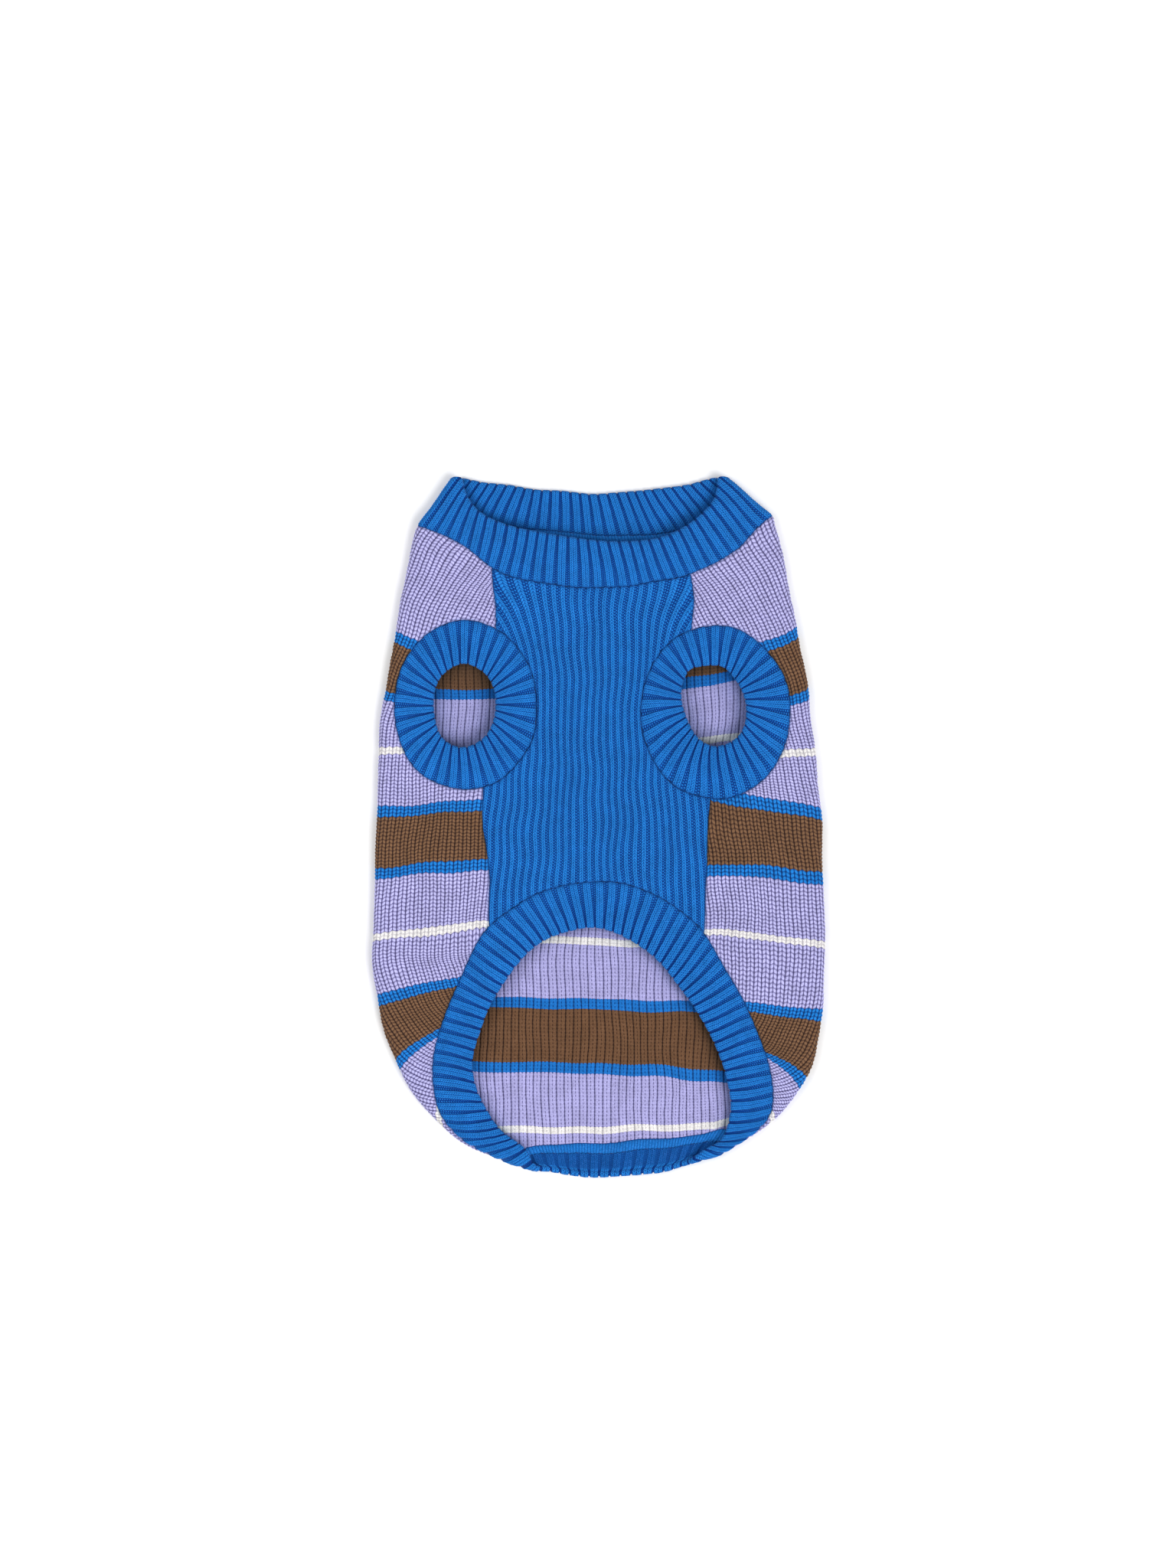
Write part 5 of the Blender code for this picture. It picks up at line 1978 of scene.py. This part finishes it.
    def round_edge(self, outer: Sequence[Row], inner: Sequence[Row]) -> list[Row]:
        """Round the free edge outwards.

        Args:
            outer: the outer face's rows.
            inner: the inner face's rows.

        Returns:
            The rows between the two faces' last ones.
        """
        above, below = outer[-1].points, inner[-1].points
        ahead = unit(above - outer[-3].points + below - inner[-3].points)
        crest = self.knit.crest(outer[-1].knit_map[:-1, 0], self.knit.free_share)
        ahead *= (self.lip + self.scallop * (crest - 0.5))[:, None]
        middle, half = (above + below) / 2, (above - below) / 2
        rows = []
        for turn, courses in self.LIP_ROWS:
            lip = middle + half * math.sin(math.pi * turn) + ahead * math.cos(math.pi * turn)
            rows.append(Row(lip, outer[-1].knit_map + np.array([0.0, courses]), outer[-1].shade))
        return rows

    def lining_shade(self, room: Array, points: Array) -> Array:
        """How much painted shade the inner face gets.

        Args:
            room: distance from the seam.
            points: the places in space.

        Returns:
            The painted shade, from 0 to 1.
        """
        return self.dip.shade(np.abs(room - self.link.after)) if self.link else np.zeros(len(room))

    def around(self) -> float:
        """Length of the band's middle, all round in space."""
        ribs = np.arange(self.ribs, dtype=float)
        half, flat = np.full(self.ribs, 0.5), np.zeros(self.ribs)
        middle = self.place(ribs, half, flat, False)
        return float(np.linalg.norm(middle - np.roll(middle, 1, axis=0), axis=1).sum())


@dataclass(frozen=True)
class LegCuff(Band):
    """A leg cuff, which lies flat as a ring round its leg hole.

    Attributes:
        leg: the leg hole.
        swell: how far the cuff's middle stands up.
    """

    leg: LegHole = LEFT_LEG
    swell: float = 0.9

    ANGLES = 72

    def hole_radius(self, angles: Array) -> Array:
        """Distance from the hole's middle to its edge.

        Args:
            angles: angles round its middle.

        Returns:
            The distance at each.
        """
        count = len(self.leg.edge)
        at = np.linspace(0.0, count, READS_EACH * count, endpoint=False)
        x, y = (curve_at(self.leg.edge, at, closed=True) - np.array(self.leg.middle)).T
        return np.interp(angles, np.arctan2(y, x), np.hypot(x, y), period=FULL_TURN)

    def width(self) -> float:
        """Mean distance from the seam to the free edge."""
        free = self.hole_radius(np.linspace(0.0, FULL_TURN, self.ANGLES, endpoint=False)).mean()
        return (self.leg.seam.half_x + self.leg.seam.half_y) / 2.0 - float(free)

    def place(self, ribs: Array, part: Array, lift: Array, lining: bool) -> Array:
        """Place points of one face; see the base class."""
        angles = FULL_TURN * (ribs + 0.5) / self.ribs
        way = np.column_stack([np.cos(angles), np.sin(angles)])
        x, y, half_x, half_y = self.leg.seam
        sewn = np.array([x, y]) + (np.array([half_x, half_y]) - SIZES.seam_gap) * way
        free = np.array(self.leg.middle) + self.hole_radius(angles)[:, None] * way
        plan = sewn + (free - sewn) * part[:, None]
        swell = self.swell * np.sin(math.pi * np.clip(part, 0.0, 1.0))
        inward = SIZES.band_wall - swell if lining else -lift - swell
        return CLOTH.lay_on_belly(plan, inward)


@dataclass(frozen=True)
class HemBand(Band):
    """The band round the belly cut and the tail, bent round the fold with the cloth.

    It lies on the belly side outside the stations lying_ends, and round the fold between the
    stations folded_ends. Past link_part of its width, its inner face keeps lining_relief of its
    relief and gets painted shade of lining_tone, and from lip_start that painted shade ends
    within lip_reach.
    """

    lying_ends: Span = (9.0, 23.0)
    folded_ends: Span = (12.0, 20.0)
    underside_relief: float = 0.3
    full_relief: float = 1.9
    lining_tone: float = 1.0
    lining_relief: float = 0.5
    lip_start: float = 13.0
    lip_reach: float = 1.6
    link_part: float = 0.28

    WIDTH_STEPS = 13

    def stations(self) -> tuple[Array, Array]:
        """Places counted in stations, and the rib number at each."""
        at = np.linspace(0.0, len(HEM), STATION_READS * len(HEM) + 1)
        along = lengths_along((HEM_SEAM.path(at).plan + HEM_FREE.path(at).plan) / 2)
        return at, self.ribs * along / along[-1] - 0.5

    def width(self) -> float:
        """Mean distance from the seam to the free edge, along the cloth."""
        ribs, flat = np.arange(self.ribs, dtype=float), np.zeros(self.ribs)
        parts = np.linspace(0.0, 1.0, self.WIDTH_STEPS)
        steps = [self.place(ribs, flat + part, flat, False) for part in parts]
        return float(np.linalg.norm(np.diff(steps, axis=0), axis=2).sum(0).mean())

    def lining_shade(self, room: Array, points: Array) -> Array:
        """How much painted shade the inner face gets; see the base class."""
        shaded = self.lining_tone * (1.0 - smooth_step((room - self.lip_start) / self.lip_reach))
        shaded = shaded * (room > self.link.after)
        return np.maximum(shaded, self.link.edge_tone * super().lining_shade(room, points))

    def place(self, ribs: Array, part: Array, lift: Array, lining: bool) -> Array:
        """Place points of one face; see the base class."""
        stations, known = self.stations()
        at = np.interp(ribs, known, stations)
        seam, free = HEM_SEAM.path(at), HEM_FREE.path(at)
        plan = seam.plan + (free.plan - seam.plan) * part[:, None]
        flat = seam.flat + (free.flat - seam.flat) * part[:, None]
        first = (at - self.lying_ends[0]) / (self.folded_ends[0] - self.lying_ends[0])
        last = (self.lying_ends[1] - at) / (self.lying_ends[1] - self.folded_ends[1])
        bent = smooth_step(np.minimum(first, last))
        far, radius = CLOTH.far(flat), SIZES.fold_radius
        shown = smooth_step((far + radius) / (radius + self.full_relief))
        under = 1.0 - smooth_step((far + radius) / radius)
        if lining:
            relief = np.where(part > self.link_part, self.lining_relief, 1.0)
            folded = CLOTH.fold(flat, SIZES.band_wall + lift * relief * under)
            laid = CLOTH.lay_on_belly(plan, SIZES.band_wall)
        else:
            folded = CLOTH.fold(flat, (1.0 - shown) * self.underside_relief - shown * lift)
            laid = CLOTH.lay_on_belly(plan, -lift)
        return laid * (1.0 - bent)[:, None] + folded * bent[:, None]


@dataclass(frozen=True)
class Collar(Band):
    """The collar: a tube that lies flat, its open end towards +Y.

    The ribs that are neither on its front nor on its back lie round the folds. Its front swells and
    its free edge arches there. Over turn_part of its width the wall turns from the cloth's way to its
    own. Painted shade of up to pocket_shade, over pocket_reach, lies in the pocket behind the front's
    free edge.
    """

    front_ribs: int = 31
    back_ribs: int = 28
    arch: float = 4.6
    arch_fullness: float = 0.8
    swell: float = 1.2
    swell_fullness: float = 0.5
    turn_part: float = 0.3
    pocket_shade: float = 0.95
    pocket_reach: float = 5.0
    rests_on: tuple[str, ...] = ("back_panel_knit", "floor")

    STRETCH_READS, TURN_READS, HALF_RIBS_AWAY = 200, 17, 1.5

    def corners(self) -> tuple[int, int, int, int, int]:
        """Where the front, right fold, back and left fold start, in half ribs, and where they end."""
        each = self.ribs - self.front_ribs - self.back_ribs
        front, back = 2 * self.front_ribs, 2 * self.back_ribs
        return 0, front, front + each, front + each + back, 2 * self.ribs

    def neck_in_space(self, at: Array, inward: float = 0.0) -> Array:
        """The neck seam in space, at places counted in stations."""
        path = NECK_SEAM.path(at)
        laid, folded = CLOTH.lay_on_belly(path.plan, inward), CLOTH.fold(path.flat, inward)
        return np.where(path.lies[:, None], laid, folded)

    def neck_stations(self) -> tuple[Array, Array]:
        """Places of the neck seam counted in stations, and the number of half ribs at each."""
        at = np.linspace(0.0, len(NECK), STATION_READS * len(NECK) + 1)
        far = CLOTH.far(NECK_SEAM.path(at).flat)
        over, under = at[far > SIZES.fold_end], at[far < -SIZES.fold_radius]
        ends = (over[0], over[-1], under[0], under[-1], len(NECK) + over[0])
        known, stations = [], []
        corners = self.corners()
        for first, last, low, high in zip(ends, ends[1:], corners, corners[1:]):
            places = np.linspace(first, last, self.STRETCH_READS)
            along = lengths_along(self.neck_in_space(places))
            known.append((low + (high - low) * along / along[-1])[:-1])
            stations.append(places[:-1])
        return np.append(np.concatenate(stations), ends[-1]), np.append(np.concatenate(known), corners[-1])

    def free_edge(self) -> tuple[Array, Array]:
        """The free edge in space, and the number of half ribs at each of its points."""
        way = np.array(COLLAR_FREE_RIGHT) - np.array(COLLAR_FREE_LEFT)
        way, radius = way / np.linalg.norm(way), SIZES.fold_radius
        left, right = COLLAR_FREE_LEFT + way * radius, COLLAR_FREE_RIGHT - way * radius
        front = smooth_line([left, *COLLAR_FREE_FRONT, right])
        back = smooth_line([right, *COLLAR_FREE_BACK, left])
        part = np.linspace(0.0, 1.0, len(front))
        arch = self.arch * np.maximum(np.sin(math.pi * part), 0.0) ** self.arch_fullness
        upper = np.column_stack([front, 2 * radius + arch])
        lower = np.column_stack([back, np.zeros(len(back))])
        turns = np.linspace(0.0, math.pi, self.TURN_READS)
        aside, height = radius * np.sin(turns), radius * (1 + np.cos(turns))
        right_fold = np.column_stack([right + aside[:, None] * way, height])
        left_fold = np.column_stack([left - aside[:, None] * way, 2 * radius - height])
        corners = self.corners()
        points, known = [], []
        for line, low, high in zip((upper, right_fold, lower, left_fold), corners, corners[1:]):
            points.append(line[:-1])
            known.append(low + (high - low) * np.linspace(0.0, 1.0, len(line))[:-1])
        return np.vstack([*points, upper[:1]]), np.append(np.concatenate(known), corners[-1])

    def lining_shade(self, room: Array, points: Array) -> Array:
        """How much painted shade the inner face gets, behind the front's free edge; see the base class."""
        front = Polyline(smooth_line([COLLAR_FREE_LEFT, *COLLAR_FREE_FRONT, COLLAR_FREE_RIGHT]))
        behind = self.pocket_shade * (1.0 - smooth_step(front.distance(points[:, :2]) / self.pocket_reach))
        return np.maximum(behind, super().lining_shade(room, points))

    def width(self) -> float:
        """Mean distance from the seam to the free edge."""
        halves = np.arange(2 * self.ribs, dtype=float)
        stations, known = self.neck_stations()
        edge, edge_known = self.free_edge()
        seam = self.neck_in_space(np.interp(halves, known, stations))
        return float(np.linalg.norm(line_at(edge, edge_known, halves) - seam, axis=1).mean())

    def place(self, ribs: Array, part: Array, lift: Array, lining: bool) -> Array:
        """Place points of one face; see the base class."""
        halves = 2.0 * ribs + 1.0
        stations, known = self.neck_stations()
        edge, edge_known = self.free_edge()
        at = np.interp(halves, known, stations)
        seam, free = self.neck_in_space(at), line_at(edge, edge_known, halves)
        around = []
        for shift in (self.HALF_RIBS_AWAY, -self.HALF_RIBS_AWAY):
            there = np.mod(halves + shift, 2.0 * self.ribs)
            there_seam = self.neck_in_space(np.interp(there, known, stations))
            there_free = line_at(edge, edge_known, there)
            around.append(there_seam + (there_free - there_seam) * part[:, None])
        normal = unit(np.cross(around[0] - around[1], free - seam))
        at_seam = unit(seam - self.neck_in_space(at, SIZES.band_wall))
        turned = smooth_step(part / self.turn_part)[:, None]
        normal = unit(at_seam * (1.0 - turned) + normal * turned)
        base = seam + (free - seam) * part[:, None]
        corners = self.corners()
        front = (halves > corners[0]) & (halves < corners[1])
        below = np.clip(np.minimum(halves - corners[2], corners[3] - halves), 0.0, 1.0)
        swell = self.swell * np.sin(math.pi * np.clip(part, 0.0, 1.0))
        over = np.sin(math.pi * np.clip(halves / corners[1], 0.0, 1.0))
        swell = swell * front * over**self.swell_fullness
        if lining:
            return base - normal * (SIZES.band_wall - swell + lift * below)[:, None]
        return base + normal * (swell + lift * (1.0 - below))[:, None]


@dataclass(frozen=True)
class Lamp:
    """A round soft light that shines at the sweater's middle."""

    name: str
    place: Place
    power: float
    size: float

    def hang(self) -> bpy.types.Object:
        """Put the light into the scene."""
        data = bpy.data.lights.new(self.name, "AREA")
        data.shape = "DISK"
        data.size = self.size
        data.energy = self.power
        thing = add_object(self.name, data)
        thing.location = self.place
        thing.rotation_euler = (-Vector(self.place)).to_track_quat("-Z", "Y").to_euler()
        return thing


@dataclass(frozen=True)
class Studio:
    """The pale floor, the soft light and the camera straight above. Its lengths are in metres."""

    floor_size: float = 30.0
    floor_drop: float = 0.00005
    floor_colour: Colour = (0.92, 0.92, 0.925)
    floor_roughness: float = 0.9
    floor_specular: float = 0.1
    sky_colour: Colour = (1.0, 1.0, 1.0)
    sky_strength: float = 0.52
    key: Lamp = Lamp("key", (2.1, -1.6, 3.0), power=122.0, size=2.6)
    fill: Lamp = Lamp("fill", (-0.6, 0.1, 0.75), power=4.0, size=0.8)
    camera_place: Place = (-0.0052, 0.0200, 1.5)
    lens: float = 73.0
    sensor_width: float = 36.0

    def floor(self) -> bpy.types.Object:
        """Lay the floor."""
        half, drop = self.floor_size / 2.0, -self.floor_drop
        corners = [(-half, -half, drop), (half, -half, drop), (half, half, drop), (-half, half, drop)]
        data = bpy.data.meshes.new("floor")
        data.from_pydata(corners, [], [(0, 1, 2, 3)])
        material, sheet, shader = start_material("floor")
        values = {"Base Color": self.floor_colour, "Roughness": self.floor_roughness}
        sheet.fill_all(shader, {**values, "Specular IOR Level": self.floor_specular})
        data.materials.append(material)
        return add_object("floor", data)

    def build(self) -> None:
        """Set up the floor, lights, world and camera."""
        scene = bpy.context.scene
        lights = self.key.hang(), self.fill.hang()
        self.floor()
        world = bpy.data.worlds.new("studio")
        world.use_nodes = True
        background = world.node_tree.nodes["Background"]
        values = {"Color": self.sky_colour, "Strength": self.sky_strength}
        Sheet(world.node_tree).fill_all(background, values)
        scene.world = world
        scene.view_settings.view_transform = "Standard"
        data = bpy.data.cameras.new("camera")
        data.lens = self.lens
        data.sensor_width = self.sensor_width
        scene.camera = add_object("camera", data)
        scene.camera.location = self.camera_place


def main() -> None:
    """Build and report every visible piece, then set up the studio."""
    logging.basicConfig(level=logging.INFO, format="%(message)s")
    groups = KnitGroups()
    rib = Knit(wales=2, share=0.6, free_share=0.8, rib_rise=0.6, leg_rise=0.35, slant=1.0, floor=True)
    collar_rib = replace(rib, share=0.64, free_share=0.76)
    pieces = (
        BackPanel(),
        BellyPanel(),
        Collar("collar", ribs=63, courses=21, knit=collar_rib, link=LinkedSeam(before=1.9, after=2.6)),
        LegCuff("leg_cuff_left", ribs=34, courses=18, knit=rib, leg=LEFT_LEG),
        LegCuff("leg_cuff_right", ribs=34, courses=18, knit=rib, leg=RIGHT_LEG),
        HemBand("hem_band", ribs=80, courses=19, knit=rib, link=LinkedSeam(before=0.2, after=5.6)),
    )
    for piece in pieces:
        thing = piece.build(groups)
        LOG.info("%s: %d faces", thing.name, len(thing.data.polygons))
    Studio().build()


if __name__ == "__main__":
    main()
